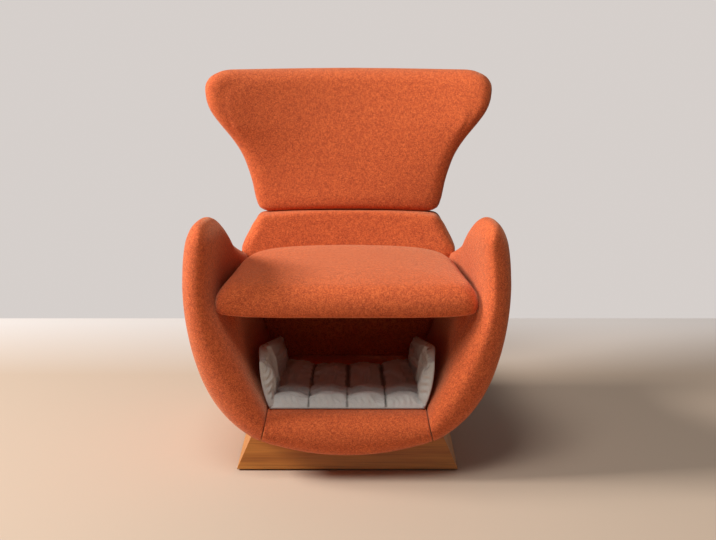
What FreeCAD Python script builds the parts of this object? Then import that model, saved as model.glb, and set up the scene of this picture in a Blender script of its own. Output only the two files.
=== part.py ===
import FreeCAD, Part
import math
import os

# Upholstered lounge chair with a pet nest under the seat, on an oak plinth.
# Millimetres. +X to the right as seen from the front, +Y to the back, +Z up.
# The origin is on the floor, under the middle of the plinth.

V = FreeCAD.Vector
os.makedirs("parts", exist_ok=True)

# Tub: overall form
tub_half_width = 384.0        # outer half width at the arms
tub_tail_narrowing = 22.0     # how much narrower each side is at the back
hip_inset = 24.0              # half width lost from the widest line down to the hip
hip_tail_inset = 16.8
hip_height = 282.0
hip_tail_rise = 8.0
arm_front_y = -348.0
nose_depth = 55.0             # length over which the padded front edge rounds off
arm_back_y = 150.0
front_lean = 0.06             # the front leans forward by this much per unit of height
lean_pivot_height = 300.0
keel_height = 53.0            # lowest point of the tub

# Tub: the shelf that carries the seat, and the arms over it
shelf_height = 407.0
arm_rise = 234.0              # crest of the arm over the shelf, at the front
arm_tail_rise = 62.0          # where the crest would level out at the back
arm_tail_fall = 15.0          # but it keeps falling, by this much more at the back of the arm
arm_fall_start_y = 0.0
arm_wall = 70.0               # from the widest line to the inner face beside the seat
arm_wall_tail_growth = 2.0
shoulder_inset = 24.0         # where the side turns over to the crest
shoulder_tail_inset = 13.0
shoulder_drop = 23.0
shoulder_tail_drop = 20.0
arm_top_thickness = 70.0
arm_tail_thickness = 60.0
arm_lean_in = 6.0             # the top of the arm leans in by this much half way back
inner_drop = 35.0             # inner edge of the arm top, under the crest
inner_tail_drop = 17.0

# Tub: nest under the seat
nest_floor_height = 163.0
nest_wall = 120.0             # padded wall beside the nest, at the shelf
nest_tail_narrowing = 6.0
nest_wall_flare = 74.0        # each nest wall opens by this much from its floor to the shelf
nest_wall_bulge = 12.0        # and bows outwards by this much
seam_height = 92.0            # seam between floor roll and arm, at its lower end
seam_flare = 16.0             # the seam spreads by this much from its upper to its lower end
seam_gap = 0.4

# Rear of the tub
rear_depth = 200.0            # how far the tub goes on behind the arms
rear_cap_share = 0.97         # share of that depth at which the back panel is flat
rear_round = 2.4              # how squarely the rear turns in: 2 is an ellipse
rear_width_loss = 0.62
rear_height_loss = 0.12
neck_inset = 112.0            # from the side of the tub in to the neck under the upper back
neck_drop = 8.0               # neck below the crease
neck_crown = 3.0
rear_centre_height = 330.0    # height about which the rear sections shrink

# Lower back pad
lower_back_height = 153.0     # from the shelf up to the crease under the upper back
lumbar_front_y = 150.0        # front face at the seat, in the middle
lumbar_thickness = 55.0
lumbar_slope = 0.34           # leans back by this much per unit of height
lumbar_wrap = 25.0            # the ends come forward by this much
lumbar_side_gap = 3.0
lumbar_end_bulge = 3.0
lumbar_foot_inset = 4.0
lumbar_top_inset = 10.0       # top corners of the pad inside the neck
lumbar_gap = 0.4
recess_over = 20.0            # the recess for the pad goes on above it by this much
recess_below = 1.0

# Winged upper back
crease_gap = 0.4
wing_height = 377.0
wing_overhang = 8.0           # the wings reach out past the tub by this much
wing_foot_inset = 4.0         # foot of the upper back inside the neck
wing_front_y = 200.0          # front face at the crease, in the middle
wing_slope = 0.325
wing_foot_thickness = 100.0
wing_top_thickness = 84.0
wing_tip_thickness = 58.0
wing_wrap = 95.0              # the wing tips come forward by this much
wing_foot_wrap_share = 0.35
wing_top_round = 40.0
wing_top_corner = 60.0        # width lost to the round corners at the very top
wing_foot_round = 18.0
wing_foot_corner = 16.0

# Seat cushion and its board
seat_lift = 0.3
seat_front_y = -345.0
seat_height = 86.0            # top of the crown over the shelf
seat_side_gap = 6.0
seat_tail_side_gap = 10.0
seat_corner = 52.0
seat_tail_corner = 40.0
seat_front_bow = 13.0
seat_back_gap = 1.5
# Share of the cushion's height, and how far the edge lies inside its widest line
seat_profile = (
    (0.0, 24.0), (0.09, 10.0), (0.22, 2.5), (0.42, 0.0), (0.64, 4.0), (0.8, 16.0), (0.91, 42.0),
    (1.0, 110.0),
)
seat_board_thickness = 15.0
seat_board_inset = 24.0       # padding round the board, at its front and at its back
seat_board_tail_inset = 6.0
seat_board_front_y = -300.0
seat_board_back_y = 112.0
seat_board_corner = 52.0      # cut off at the two front corners
seat_board_tail_corner = 20.0
tenon_width = 10.0
tenon_length = 40.0
tenon_depth_in_board = 10.0
tenon_depth_in_rail = 20.0
tenon_places = (-150.0, 70.0)

# Pet mat
mat_front_y = -268.0
mat_back_y = 95.0
mat_clearance = 0.4
mat_side_gap = 4.0
mat_thickness = 30.0
mat_row_height = 36.0         # height of the rolls that run across, before they meet the others
mat_flap_roll = 50.0          # length over which a flap thickens from its edges
mat_seam_thickness = 7.0
mat_rows = 3
mat_columns = 4
mat_flap_lean = 46.0          # outward lean of a flap over its height
mat_flap_round = 0.8          # share of the thickness where a flap's swell turns
mat_flap_turn = 0.35          # and how far along the swell that is
mat_flap_height = 150.0
mat_flap_back_height = 88.0

# Plywood and timber frame inside the tub
rib_thickness = 18.0
rib_share = 0.45              # share of the padded wall that the rib fills
front_rib_y = -230.0
base_board_thickness = 24.0
base_board_margin = 50.0      # the board ends this far inside the nest walls
deck_thickness = 15.0
deck_top_height = 75.0
rail_width = 22.0
arm_rail_depth = 32.0
arm_rail_front_drop = 47.0    # rail centre below the arm crest, at the front
arm_rail_back_drop = 44.0
seat_rail_width = 32.0
seat_rail_depth = 30.0
seat_rail_cover = 7.0         # padding between the rail and the shelf
seat_rail_inset = 4.0         # and between the rail and the nest
strut_depth = 30.0
strut_drop = 62.0             # underside of the struts below the shelf

# Back posts, back board and rear frame, in the plane of the recline
recline = math.radians(18.0)
post_gap = 13.0               # middle of the posts behind the lower back, at the crease
post_width = 30.0
post_thickness = 8.0
post_spacing = 220.0
post_below = 150.0
post_above = 200.0
back_board_thickness = 15.0
back_board_half_width = 150.0
back_board_low = 40.0
back_board_high = 270.0
rear_frame_thickness = 18.0
rear_frame_low = -250.0
rear_frame_waist = -170.0
rear_frame_high = -14.0
rear_frame_inset = 42.0       # inside the tub's side
rear_frame_top_inset = 50.0   # inside the neck
nest_back_thickness = 18.0
nest_back_gap = 1.0

# Plinth
plinth_spread = 63.0          # foot of the plinth outside the seams of the tub
plinth_half_depth = 255.0
plinth_side_slope = 0.45      # the sides draw in by this much per unit of height
plinth_front_slope = 0.2
plinth_wall = 22.0
plinth_blank_height = 150.0   # boards before the cradle curve is cut into them
plinth_gap = 1.0
foot_strip_thickness = 4.0
foot_strip_width = 24.0
foot_strip_inset = 7.0
corner_block = 44.0
corner_block_height = 50.0
cleat_width = 22.0
cleat_depth = 40.0
cleat_inset = 18.0            # middle of a cleat inside the end of the deck

# Fasteners
bolt_diameter = 8.0
bolt_head_radius = 7.5
bolt_head_height = 5.0
bolt_grip = 20.0              # length of the shank in the base board
bolt_play = 0.2
bolt_inset = 55.0             # bolts inside the end of the board
base_bolt_places = (-150.0, 90.0)

# Places that follow from these
nose_y = arm_front_y + nose_depth
rear_rib_y = arm_back_y - rib_thickness
crease_height = shelf_height + lower_back_height
neck_height = crease_height - neck_drop
shoulder_slope = 2.0 * arm_tail_fall / (arm_back_y - arm_fall_start_y)
tail_half_width = tub_half_width - tub_tail_narrowing
neck_half_width = tail_half_width - neck_inset
nest_top_half_width = tub_half_width - nest_wall
nest_half_width = nest_top_half_width - nest_wall_flare
seam_half_width = nest_half_width + seam_flare
tail_wall_half_width = tail_half_width - arm_wall - arm_wall_tail_growth
lumbar_half_width = tail_wall_half_width - lumbar_side_gap
wing_half_width = tub_half_width + wing_overhang
wing_foot_half_width = neck_half_width - wing_foot_inset
seat_half_width = tub_half_width - arm_wall - seat_side_gap
seat_tail_half_width = tail_wall_half_width - seat_tail_side_gap
base_board_half_width = nest_half_width - base_board_margin
mat_half_width = nest_half_width - mat_side_gap
plinth_half_width = seam_half_width + plinth_spread
base_bolt_x = base_board_half_width - bolt_inset


def save(name, *solids):
    """Write one named piece, or a group of like pieces, to its file."""
    shape = solids[0] if len(solids) == 1 else Part.makeCompound(list(solids))
    shape.exportStep("parts/%s.step" % name)


def outline(place, start, *runs):
    """Closed wire from runs: a run of one point is a line, a run of two points is an arc
    through the first to the second. place turns a flat point into one in space."""
    edges = []
    here = place(start)
    for run in runs:
        points = [place(point) for point in run]
        if len(points) == 2:
            edges.append(Part.Arc(here, points[0], points[1]).toShape())
        else:
            edges.append(Part.LineSegment(here, points[0]).toShape())
        here = points[-1]
    if (here - place(start)).Length > 1e-6:
        edges.append(Part.LineSegment(here, place(start)).toShape())
    return Part.Wire(edges)


def skin(wires):
    """Closed solid through like sections, straight from each section to the next."""
    return Part.makeLoft(wires, True, True)


def plate(wire, depth):
    """Flat board: the area inside a wire, carried along a vector."""
    return Part.Face(wire).extrude(depth)


def mirrored(shape):
    """The same piece on the other side of the chair."""
    return shape.mirror(V(0, 0, 0), V(1, 0, 0))


def box(x0, x1, y0, y1, z0, z1):
    return Part.makeBox(x1 - x0, y1 - y0, z1 - z0, V(x0, y0, z0))


def without(shape, *tools):
    """The shape with the room of other pieces taken out."""
    for tool in tools:
        shape = shape.cut(tool)
    return shape


def mix(a, b, share):
    return a + (b - a) * share


def flip(point):
    return (-point[0], point[1])


def flat(y):
    """Maps a flat point (x, z) onto the upright plane at y."""
    return lambda p: V(p[0], y, p[1])


def side_view(x):
    """Maps a flat point (y, z) onto the upright plane at x."""
    return lambda p: V(x, p[0], p[1])


# Sections of the tub. Each is a half outline from the seam bottom, up the outside, over the
# arm and down the inside to the seam top. It changes smoothly from the front to the back.

def arm_ease(y):
    """0 behind the front edge to 1 at the back of the arm, along a half cosine."""
    share = min(1.0, max(0.0, (y - nose_y) / (arm_back_y - nose_y)))
    return (1.0 - math.cos(math.pi * share)) / 2.0


def arm_points(y):
    """The eleven points of the half outline at y: seam, hip, shoulder, inner edge of the arm
    top, foot of the inner face, edge of the shelf and seam top, and the middles of arcs."""
    ease = arm_ease(y)
    outer = tub_half_width - tub_tail_narrowing * ease
    fall = arm_tail_fall * (max(0.0, y - arm_fall_start_y) / (arm_back_y - arm_fall_start_y)) ** 2
    top = shelf_height + mix(arm_rise, arm_tail_rise, ease) - fall
    hip = (outer - mix(hip_inset, hip_tail_inset, ease), hip_height + hip_tail_rise * ease)
    wall = outer - arm_wall - arm_wall_tail_growth * ease
    nest = nest_top_half_width - nest_tail_narrowing * ease
    shoulder_x = outer - mix(shoulder_inset, shoulder_tail_inset, ease)
    shoulder = (shoulder_x, top - mix(shoulder_drop, shoulder_tail_drop, ease))
    thickness = mix(arm_top_thickness, arm_tail_thickness, ease)
    inner_x = shoulder_x - thickness - arm_lean_in * math.sin(math.pi * ease)
    nest_middle = mix(nest, nest_half_width, 0.5) + nest_wall_bulge
    seam_low = (seam_half_width, seam_height)
    return [
        seam_low,
        (mix(seam_low[0], hip[0], 0.617), mix(seam_low[1], hip[1], 0.374)),
        hip,
        (outer, mix(hip[1], shoulder[1], 0.55)),
        shoulder,
        (mix(shoulder_x, inner_x, 0.49), top),
        (inner_x, top - mix(inner_drop, inner_tail_drop, ease)),
        (wall, shelf_height),
        (nest, shelf_height),
        (nest_middle, mix(shelf_height, nest_floor_height, 0.54)),
        (nest_half_width, nest_floor_height),
    ]


def drawn_in(points, share):
    """The half outline with its wall drawn in to a share of its thickness. The middle of the
    wall lies between a point of the outer side and one of the inner side."""
    seam, lower, hip, side, shoulder, _, inner, foot, edge, nest, top = points
    pairs = (
        (seam, top), (lower, top), (hip, nest), (side, foot), (shoulder, inner), (shoulder, inner),
        (shoulder, inner), (side, foot), (hip, edge), (hip, nest), (seam, top),
    )
    drawn = []
    for point, (a, b) in zip(points, pairs):
        middle = (mix(a[0], b[0], 0.5), mix(a[1], b[1], 0.5))
        drawn.append((mix(middle[0], point[0], share), mix(middle[1], point[1], share)))
    return drawn


def station(y):
    """Maps a flat point (x, z) onto the leaning plane of the section at y."""
    lean = front_lean * min(1.0, (arm_back_y - y) / (arm_back_y - nose_y))
    return lambda p: V(p[0], y - lean * (p[1] - lean_pivot_height), p[1])


def half_runs(points):
    """Runs of the half outline, from its first point to its last."""
    runs = [(points[i], points[i + 1]) for i in (1, 3, 5)]
    return runs + [(points[7],), (points[8],), (points[9], points[10])]


def arm_wire(y, share):
    points = drawn_in(arm_points(y), share)
    return outline(station(y), points[0], *half_runs(points))


# Sections of the padded front edge: distance in from the front, and share of the full wall
nose_steps = (0.98, 0.88, 0.7, 0.4)
nose_sections = [(nose_y - nose_depth * t, math.sqrt(1.0 - t * t)) for t in nose_steps]
arm_steps = (0.0, 0.2, 0.4, 0.6, 0.8, 1.0)
arm_sections = [(mix(nose_y, arm_back_y, t), 1.0) for t in arm_steps]

arm_blank = skin([arm_wire(y, share) for y, share in nose_sections + arm_sections])


def floor_wire(y, share):
    """Section of the floor roll between its two seams."""
    low = (seam_half_width, seam_height)
    top = (nest_half_width, nest_floor_height)
    middle = (mix(low[0], top[0], 0.5), mix(low[1], top[1], 0.5))
    low = (mix(middle[0], low[0], share) - seam_gap, mix(middle[1], low[1], share))
    top = (mix(middle[0], top[0], share) - seam_gap, mix(middle[1], top[1], share))
    axis = mix(keel_height, nest_floor_height, 0.5)
    keel = (0.0, mix(axis, keel_height, share))
    return outline(station(y), low, (top,), (flip(top),), (flip(low),), (keel, low))


floor_blank = skin([floor_wire(y, share) for y, share in nose_sections + arm_sections])


# Rear of the tub: full sections that draw in towards the flat back panel

def rear_factors(y):
    """Shares of width, of the lower half and of the upper half that are left at y."""
    t = (y - arm_back_y) / rear_depth
    left = (1.0 - t ** rear_round) ** (1.0 / rear_round)
    return 1.0 - rear_width_loss * (1.0 - left), left, 1.0 - rear_height_loss * (1.0 - left)


def rear_wire(y):
    side = arm_points(arm_back_y)
    width, low, high = rear_factors(y)

    def shrink(p, fall):
        rise = p[1] - rear_centre_height
        height = rear_centre_height + rise * (low if rise < 0.0 else high)
        return (p[0] * width, height - fall * shoulder_slope * (y - arm_back_y))

    neck = (neck_half_width, neck_height - neck_crown)
    flare = (mix(side[5][0], neck[0], 0.62), mix(side[5][1], neck[1], 0.3))
    falls = (0.0, 0.0, 0.0, 0.5, 1.0, 1.0, 0.5, 0.0)
    right = [shrink(p, fall) for p, fall in zip(side[:6] + [flare, neck], falls)]
    left = [flip(p) for p in right]
    keel = shrink((0.0, keel_height), 0.0)
    crown = shrink((0.0, neck_height), 0.0)
    runs = [(right[1], right[2]), (right[3], right[4]), (right[5],), (right[6], right[7])]
    runs += [(crown, left[7]), (left[6], left[5]), (left[4],), (left[3], left[2])]
    runs += [(left[1], left[0]), (keel, right[0])]
    return outline(lambda p: V(p[0], y, p[1]), right[0], *runs)


rear_steps = (0.0, 0.2, 0.4, 0.6, 0.78, 0.9, rear_cap_share)
rear_blank = skin([rear_wire(arm_back_y + rear_depth * t) for t in rear_steps])


def lumbar_back_y(z):
    """Back of the lower back pad at a height."""
    return lumbar_front_y + lumbar_thickness + lumbar_slope * (z - shelf_height)


lumbar_recess_low = shelf_height - recess_below
lumbar_recess_high = crease_height + recess_over
lumbar_recess_half = lumbar_half_width + lumbar_gap
lumbar_recess = plate(
    outline(
        side_view(-lumbar_recess_half),
        (arm_back_y - recess_below, lumbar_recess_low),
        ((lumbar_back_y(lumbar_recess_low), lumbar_recess_low),),
        ((lumbar_back_y(lumbar_recess_high), lumbar_recess_high),),
        ((arm_back_y - recess_below, lumbar_recess_high),),
    ),
    V(2.0 * lumbar_recess_half, 0, 0),
)


# Lower back pad: level sections, each a band that wraps forward at its ends

def lumbar_wire(z, half, thick_share):
    back = lumbar_back_y(z) - lumbar_gap
    thickness = (lumbar_thickness - lumbar_gap) * thick_share
    front = back - thickness
    end = front - lumbar_wrap * (half / lumbar_half_width) ** 2
    corner = half - lumbar_end_bulge
    side = (half + lumbar_end_bulge * thick_share, mix(end, back, 0.5))
    return outline(
        lambda p: V(p[0], p[1], z),
        (corner, back), (side, (corner, end)), ((0.0, front), (-corner, end)),
        (flip(side), (-corner, back)),
    )


lumbar_top = crease_height - crease_gap
lumbar_rise = lumbar_top - shelf_height
lumbar_steps = (
    (0.0, 0.0, 1.0), (0.4, 0.02, 1.0), (0.55, 0.16, 1.0), (0.7, 0.4, 1.0),
    (0.87, 0.64, 0.97), (0.96, 0.8, 0.8), (1.0, 1.0, 0.45),
)
lower_back = skin([
    lumbar_wire(
        shelf_height + seat_lift + (lumbar_rise - seat_lift) * t,
        mix(lumbar_half_width - lumbar_foot_inset, neck_half_width - lumbar_top_inset, flare),
        thick,
    )
    for t, flare, thick in lumbar_steps
])


# Winged upper back: level sections, each a curved band with round ends

def wing_wire(z, half, thick_share):
    share = (z - crease_height) / wing_height
    wrap = wing_wrap * (half / wing_half_width) ** 2 * min(1.0, wing_foot_wrap_share + 1.1 * share)
    thickness = mix(wing_foot_thickness, wing_top_thickness, share)
    front = wing_front_y + wing_slope * (z - crease_height)
    middle = front + thickness / 2.0
    half_middle = thickness / 2.0 * thick_share
    radius = wing_tip_thickness / 2.0 * thick_share
    tip_x = half - radius
    tip_y = middle - wrap * (tip_x / half) ** 2
    turn = math.atan(2.0 * wrap * tip_x / half ** 2)
    along = (math.cos(turn), -math.sin(turn))
    across = (math.sin(turn), math.cos(turn))
    tip_back = (tip_x + radius * across[0], tip_y + radius * across[1])
    tip_front = (tip_x - radius * across[0], tip_y - radius * across[1])
    tip_end = (tip_x + radius * along[0], tip_y + radius * along[1])
    diagonal = radius * math.sqrt(0.5)
    corner_front, corner_back = [
        (tip_x + diagonal * (along[0] + turn * across[0]), tip_y + diagonal * (along[1] + turn * across[1]))
        for turn in (-1.0, 1.0)
    ]
    return outline(
        lambda p: V(p[0], p[1], z),
        tip_front,
        (corner_front, tip_end), (corner_back, tip_back),
        ((0.0, middle + half_middle), flip(tip_back)),
        (flip(corner_back), flip(tip_end)), (flip(corner_front), flip(tip_front)),
        ((0.0, middle - half_middle), tip_front),
    )


# Height share, share of the way from the foot width to the full width, share of the thickness
wing_body = (
    (0.05, 0.02, 1.0), (0.2, 0.15, 1.0), (0.36, 0.31, 1.0), (0.48, 0.5, 1.0),
    (0.6, 0.715, 1.0), (0.72, 0.9, 1.0), (0.83, 1.0, 1.0), (0.9, 0.98, 1.0),
)
# Share of the top rounding, share of the corner's width lost, share of the thickness
wing_ends = ((0.5, 0.28, 0.9), (0.82, 0.57, 0.64), (1.0, 1.0, 0.3))


def wing_half(share):
    return mix(wing_foot_half_width, wing_half_width, share)


wing_wires = [
    wing_wire(crease_height, wing_foot_half_width - wing_foot_corner, 0.62),
    wing_wire(crease_height + 0.33 * wing_foot_round, wing_foot_half_width - 0.38 * wing_foot_corner, 0.86),
]
wing_wires += [wing_wire(crease_height + wing_height * t, wing_half(w), s) for t, w, s in wing_body]
wing_round_low = crease_height + wing_height - wing_top_round
wing_wires += [
    wing_wire(wing_round_low + wing_top_round * t, wing_half_width - wing_top_corner * w, s)
    for t, w, s in wing_ends
]
wing_blank = skin(wing_wires)


# Seat cushion: level sections, flat below, bulged at the edge and crowned above

def seat_back_y(x):
    """Back edge of the cushion, just clear of the lower back pad."""
    return lumbar_front_y - seat_back_gap - lumbar_wrap * (x / lumbar_half_width) ** 2


round_middle = 1.0 - math.sqrt(0.5)


def seat_wire(z, inset):
    """Plan outline at a height: bowed front, round corners, sides that close in to the back."""
    front = seat_front_y + inset
    wide = seat_half_width - inset
    narrow = seat_tail_half_width - inset
    bend = round_middle * seat_corner
    tail_bend = round_middle * seat_tail_corner
    corner = (wide - seat_corner, front + seat_front_bow)
    corner_side = (wide, corner[1] + seat_corner)
    corner_middle = (wide - bend, corner[1] + bend)
    tail = (narrow - seat_tail_corner, seat_back_y(narrow) - inset)
    tail_side = (narrow, tail[1] - seat_tail_corner)
    tail_middle = (narrow - tail_bend, tail[1] - tail_bend)
    return outline(
        lambda p: V(p[0], p[1], z),
        corner, (corner_middle, corner_side), (tail_side,), (tail_middle, tail),
        ((0.0, seat_back_y(0.0) - inset), flip(tail)),
        (flip(tail_middle), flip(tail_side)), (flip(corner_side),),
        (flip(corner_middle), flip(corner)), ((0.0, front), corner),
    )


seat_low = shelf_height + seat_lift
seat_wires = [
    seat_wire(mix(seat_low, shelf_height + seat_height, rise), inset) for rise, inset in seat_profile
]
cushion_blank = skin(seat_wires)


# Pet mat: rolls that run one way cut by rolls that run the other, which leaves quilted cells

def rolls(place, first, last, count, low, high):
    """Wire with a flat base at 0 and a row of equal arcs from low to high between two ends."""
    width = (last - first) / count
    runs = [((first + width * (i + 0.5), high), (first + width * (i + 1), low)) for i in range(count)]
    return outline(place, (first, 0.0), ((first, low),), *runs, ((last, 0.0),))


mat_length = mat_back_y - mat_front_y
mat_floor = nest_floor_height + mat_clearance
mat_lean = math.atan2(mat_flap_lean, mat_flap_height)
mat_flap_length = math.hypot(mat_flap_lean, mat_flap_height)
mat_flap_back_length = mat_flap_length * mat_flap_back_height / mat_flap_height
flap_turn_thickness = mat_flap_round * mat_thickness

columns_roll = plate(
    rolls(lambda p: V(p[0], mat_front_y, mat_floor + p[1]), -mat_half_width, mat_half_width,
          mat_columns, mat_seam_thickness, mat_thickness),
    V(0, mat_length, 0),
)
rows_roll = plate(
    rolls(lambda p: V(-mat_half_width, p[0], mat_floor + p[1]), mat_front_y, mat_back_y,
          mat_rows, mat_seam_thickness, mat_row_height),
    V(2.0 * mat_half_width, 0, 0),
)
mat_pad = columns_roll.common(rows_roll)

# The right flap is built upright with its outer face on x = 0, then leaned out to its place
flap_rows = plate(
    rolls(lambda p: V(-p[1], p[0], 0.0), mat_front_y, mat_back_y,
          mat_rows, mat_seam_thickness, mat_row_height),
    V(0, 0, mat_flap_length),
)
flap_foot = plate(
    outline(
        flat(mat_front_y),
        (0.0, 0.0), ((0.0, mat_flap_length),), ((-mat_thickness, mat_flap_length),),
        ((-mat_thickness, mat_flap_roll),),
        ((-flap_turn_thickness, mat_flap_turn * mat_flap_roll), (-mat_seam_thickness, 0.0)),
    ),
    V(0, mat_length, 0),
)
flap_top = plate(
    outline(
        flat(mat_front_y),
        (0.0, -mat_flap_length), ((0.0, mat_flap_length),), ((-mat_seam_thickness, mat_flap_length),),
        ((-flap_turn_thickness, mat_flap_length - mat_flap_turn * mat_flap_roll),
         (-mat_thickness, mat_flap_length - mat_flap_roll)),
        ((-mat_thickness, -mat_flap_length),),
    ),
    V(0, mat_length, mat_flap_back_length - mat_flap_length),
)
flap_right = flap_rows.common(flap_foot).common(flap_top)
flap_right.rotate(V(0, 0, 0), V(0, 1, 0), math.degrees(mat_lean))
flap_right.translate(V(mat_half_width, 0, mat_floor))
pet_mat = mat_pad.multiFuse([flap_right, mirrored(flap_right)])


# Frame inside the tub

def rib(y):
    """U-shaped rib, sawn with straight cuts, that follows the padded wall at y."""
    middle = y + rib_thickness / 2.0
    right = drawn_in(arm_points(middle), rib_share)
    axis = mix(keel_height, nest_floor_height, 0.5)
    keel = (0.0, mix(axis, keel_height, rib_share))
    corners = right[1:] + [flip(point) for point in reversed(right)] + [keel]
    return plate(outline(flat(y), right[0], *[(corner,) for corner in corners]), V(0, rib_thickness, 0))


front_rib = rib(front_rib_y)
rear_rib = rib(rear_rib_y)
rib_back_y = front_rib_y + rib_thickness

base_board = box(
    -base_board_half_width, base_board_half_width, rib_back_y, rear_rib_y,
    deck_top_height, deck_top_height + base_board_thickness,
)


def crest(y):
    return arm_points(y)[5]


def arm_rail():
    """Sloping rail under the arm crest, between the two ribs."""
    front = crest(rib_back_y)
    back = crest(rear_rib_y)
    x = min(front[0], back[0])
    z0 = front[1] - arm_rail_front_drop
    z1 = back[1] - arm_rail_back_drop
    half = arm_rail_depth / 2.0
    wire = outline(
        side_view(x - rail_width / 2.0),
        (rib_back_y, z0 - half), ((rear_rib_y, z1 - half),), ((rear_rib_y, z1 + half),),
        ((rib_back_y, z0 + half),),
    )
    return plate(wire, V(rail_width, 0, 0))


arm_rail_right = arm_rail()
seat_rail_x = nest_top_half_width + seat_rail_inset
seat_rail_top = shelf_height - seat_rail_cover
seat_rail_right = box(
    seat_rail_x, seat_rail_x + seat_rail_width, rib_back_y, rear_rib_y,
    seat_rail_top - seat_rail_depth, seat_rail_top,
)


# Back posts, boards and bolts, built flat and then tipped to the recline

def reclined(shape):
    """Carries a shape from x across, z up the back and y through it to its place."""
    shape.rotate(V(0, 0, 0), V(1, 0, 0), -math.degrees(recline))
    shape.translate(V(0, lumbar_back_y(crease_height) + post_gap, crease_height))
    return shape


half_post = post_thickness / 2.0
post_x = post_spacing / 2.0
posts = [
    reclined(box(x - post_width / 2.0, x + post_width / 2.0, -half_post, half_post, -post_below, post_above))
    for x in (-post_x, post_x)
]
back_board = reclined(box(
    -back_board_half_width, back_board_half_width, -half_post - back_board_thickness, -half_post,
    back_board_low, back_board_high,
))
frame_low = (tail_half_width - rear_frame_inset, rear_frame_low)
frame_waist = (frame_low[0], rear_frame_waist)
frame_high = (neck_half_width - rear_frame_top_inset, rear_frame_high)
rear_frame = reclined(plate(
    outline(
        flat(half_post),
        flip(frame_low), (frame_low,), (frame_waist,), (frame_high,),
        (flip(frame_high),), (flip(frame_waist),),
    ),
    V(0, rear_frame_thickness, 0),
))
behind_frame = reclined(box(
    -tub_half_width, tub_half_width, half_post, half_post + 2.0 * rear_depth, -crease_height, crease_height,
))


strut_x = mix(tail_half_width, nest_top_half_width - nest_tail_narrowing, 0.5)
strut_low = shelf_height - strut_drop
rear_strut = box(
    strut_x - rail_width / 2.0, strut_x + rail_width / 2.0, arm_back_y, arm_back_y + rear_depth,
    strut_low, strut_low + strut_depth,
).cut(behind_frame)
rear_struts = [rear_strut, mirrored(rear_strut)]


# Closed back wall of the nest, between the arms

def nest_back_outline(y):
    points = arm_points(arm_back_y)
    gap = nest_back_gap
    top = (points[8][0] - gap, shelf_height - gap)
    wall = (points[9][0] - gap, points[9][1])
    low = (points[10][0] - gap, nest_floor_height + seam_gap)
    return outline(flat(y), low, (wall, top), (flip(top),), (flip(wall), flip(low)))


nest_back = plate(nest_back_outline(arm_back_y - nest_back_thickness), V(0, nest_back_thickness, 0))


# Seat board and the loose tenons that hold the seat on the two rails

board_front = (seat_half_width - seat_board_inset, seat_board_front_y)
board_back = (seat_tail_half_width - seat_board_tail_inset, seat_board_back_y)


def seat_board_at(y):
    """Half width of the seat board at y."""
    share = (y - seat_board_front_y) / (seat_board_back_y - seat_board_front_y)
    return mix(board_front[0], board_back[0], share)


cut_y = seat_board_front_y + seat_board_corner
tail_cut_y = seat_board_back_y - seat_board_tail_corner
front_cut = (board_front[0] - seat_board_corner, seat_board_front_y)
side_cut = (seat_board_at(cut_y), cut_y)
tail_side_cut = (seat_board_at(tail_cut_y), tail_cut_y)
tail_cut = (board_back[0] - seat_board_tail_corner, seat_board_back_y)
seat_board = plate(
    outline(
        lambda p: V(p[0], p[1], seat_low),
        flip(front_cut), (front_cut,), (side_cut,), (tail_side_cut,), (tail_cut,),
        (flip(tail_cut),), (flip(tail_side_cut),), (flip(side_cut),),
    ),
    V(0, 0, seat_board_thickness),
)
tenons = []
for y in tenon_places:
    x = seat_board_at(y) - tenon_width
    for side in (-x, x):
        tenons.append(box(
            side - tenon_width / 2.0, side + tenon_width / 2.0,
            y - tenon_length / 2.0, y + tenon_length / 2.0,
            seat_rail_top - tenon_depth_in_rail, seat_low + tenon_depth_in_board,
        ))

seat_board_mortised = without(seat_board, *tenons)
seat_cushion = without(cushion_blank, seat_board)


# Plinth: four mitred boards whose top is cut to the curve of the tub

def plinth_block(inset, low, high):
    """Solid with the plinth's slopes, drawn in by inset, between two heights."""
    rings = []
    for z in (low, high):
        rise = z - foot_strip_thickness
        x = plinth_half_width - inset - plinth_side_slope * rise
        y = plinth_half_depth - inset - plinth_front_slope * rise
        rings.append([V(x, -y, z), V(x, y, z), V(-x, y, z), V(-x, -y, z)])
    foot, top = rings
    sides = [[foot[i - 1], foot[i], top[i], top[i - 1]] for i in range(4)]
    faces = [Part.Face(Part.makePolygon(ring + ring[:1])) for ring in rings + sides]
    return Part.makeSolid(Part.makeShell(faces))


def cradle_wire(y):
    """Underside of the tub at y, closed well above the plinth."""
    width, low, _ = rear_factors(max(y, arm_back_y))
    points = [
        (p[0] * width, rear_centre_height + (p[1] - rear_centre_height) * low) for p in arm_points(y)[:3]
    ]
    keel = (0.0, rear_centre_height + (keel_height - rear_centre_height) * low)
    lid = (points[2][0], lean_pivot_height)
    return outline(
        station(y) if y < arm_back_y else flat(y),
        points[0], (points[1], points[2]), (lid,), (flip(lid),), (flip(points[2]),),
        (flip(points[1]), flip(points[0])), (keel, points[0]),
    )


cradle_places = [nose_y, arm_back_y] + [arm_back_y + rear_depth * t for t in rear_steps[1:4]]
cradle = skin([cradle_wire(y) for y in cradle_places])
cradle.translate(V(0, 0, -plinth_gap))

plinth_inside = plinth_block(plinth_wall, foot_strip_thickness - 1.0, plinth_blank_height + 1.0)
plinth_ring = plinth_block(0.0, foot_strip_thickness, plinth_blank_height).cut(plinth_inside)


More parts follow.
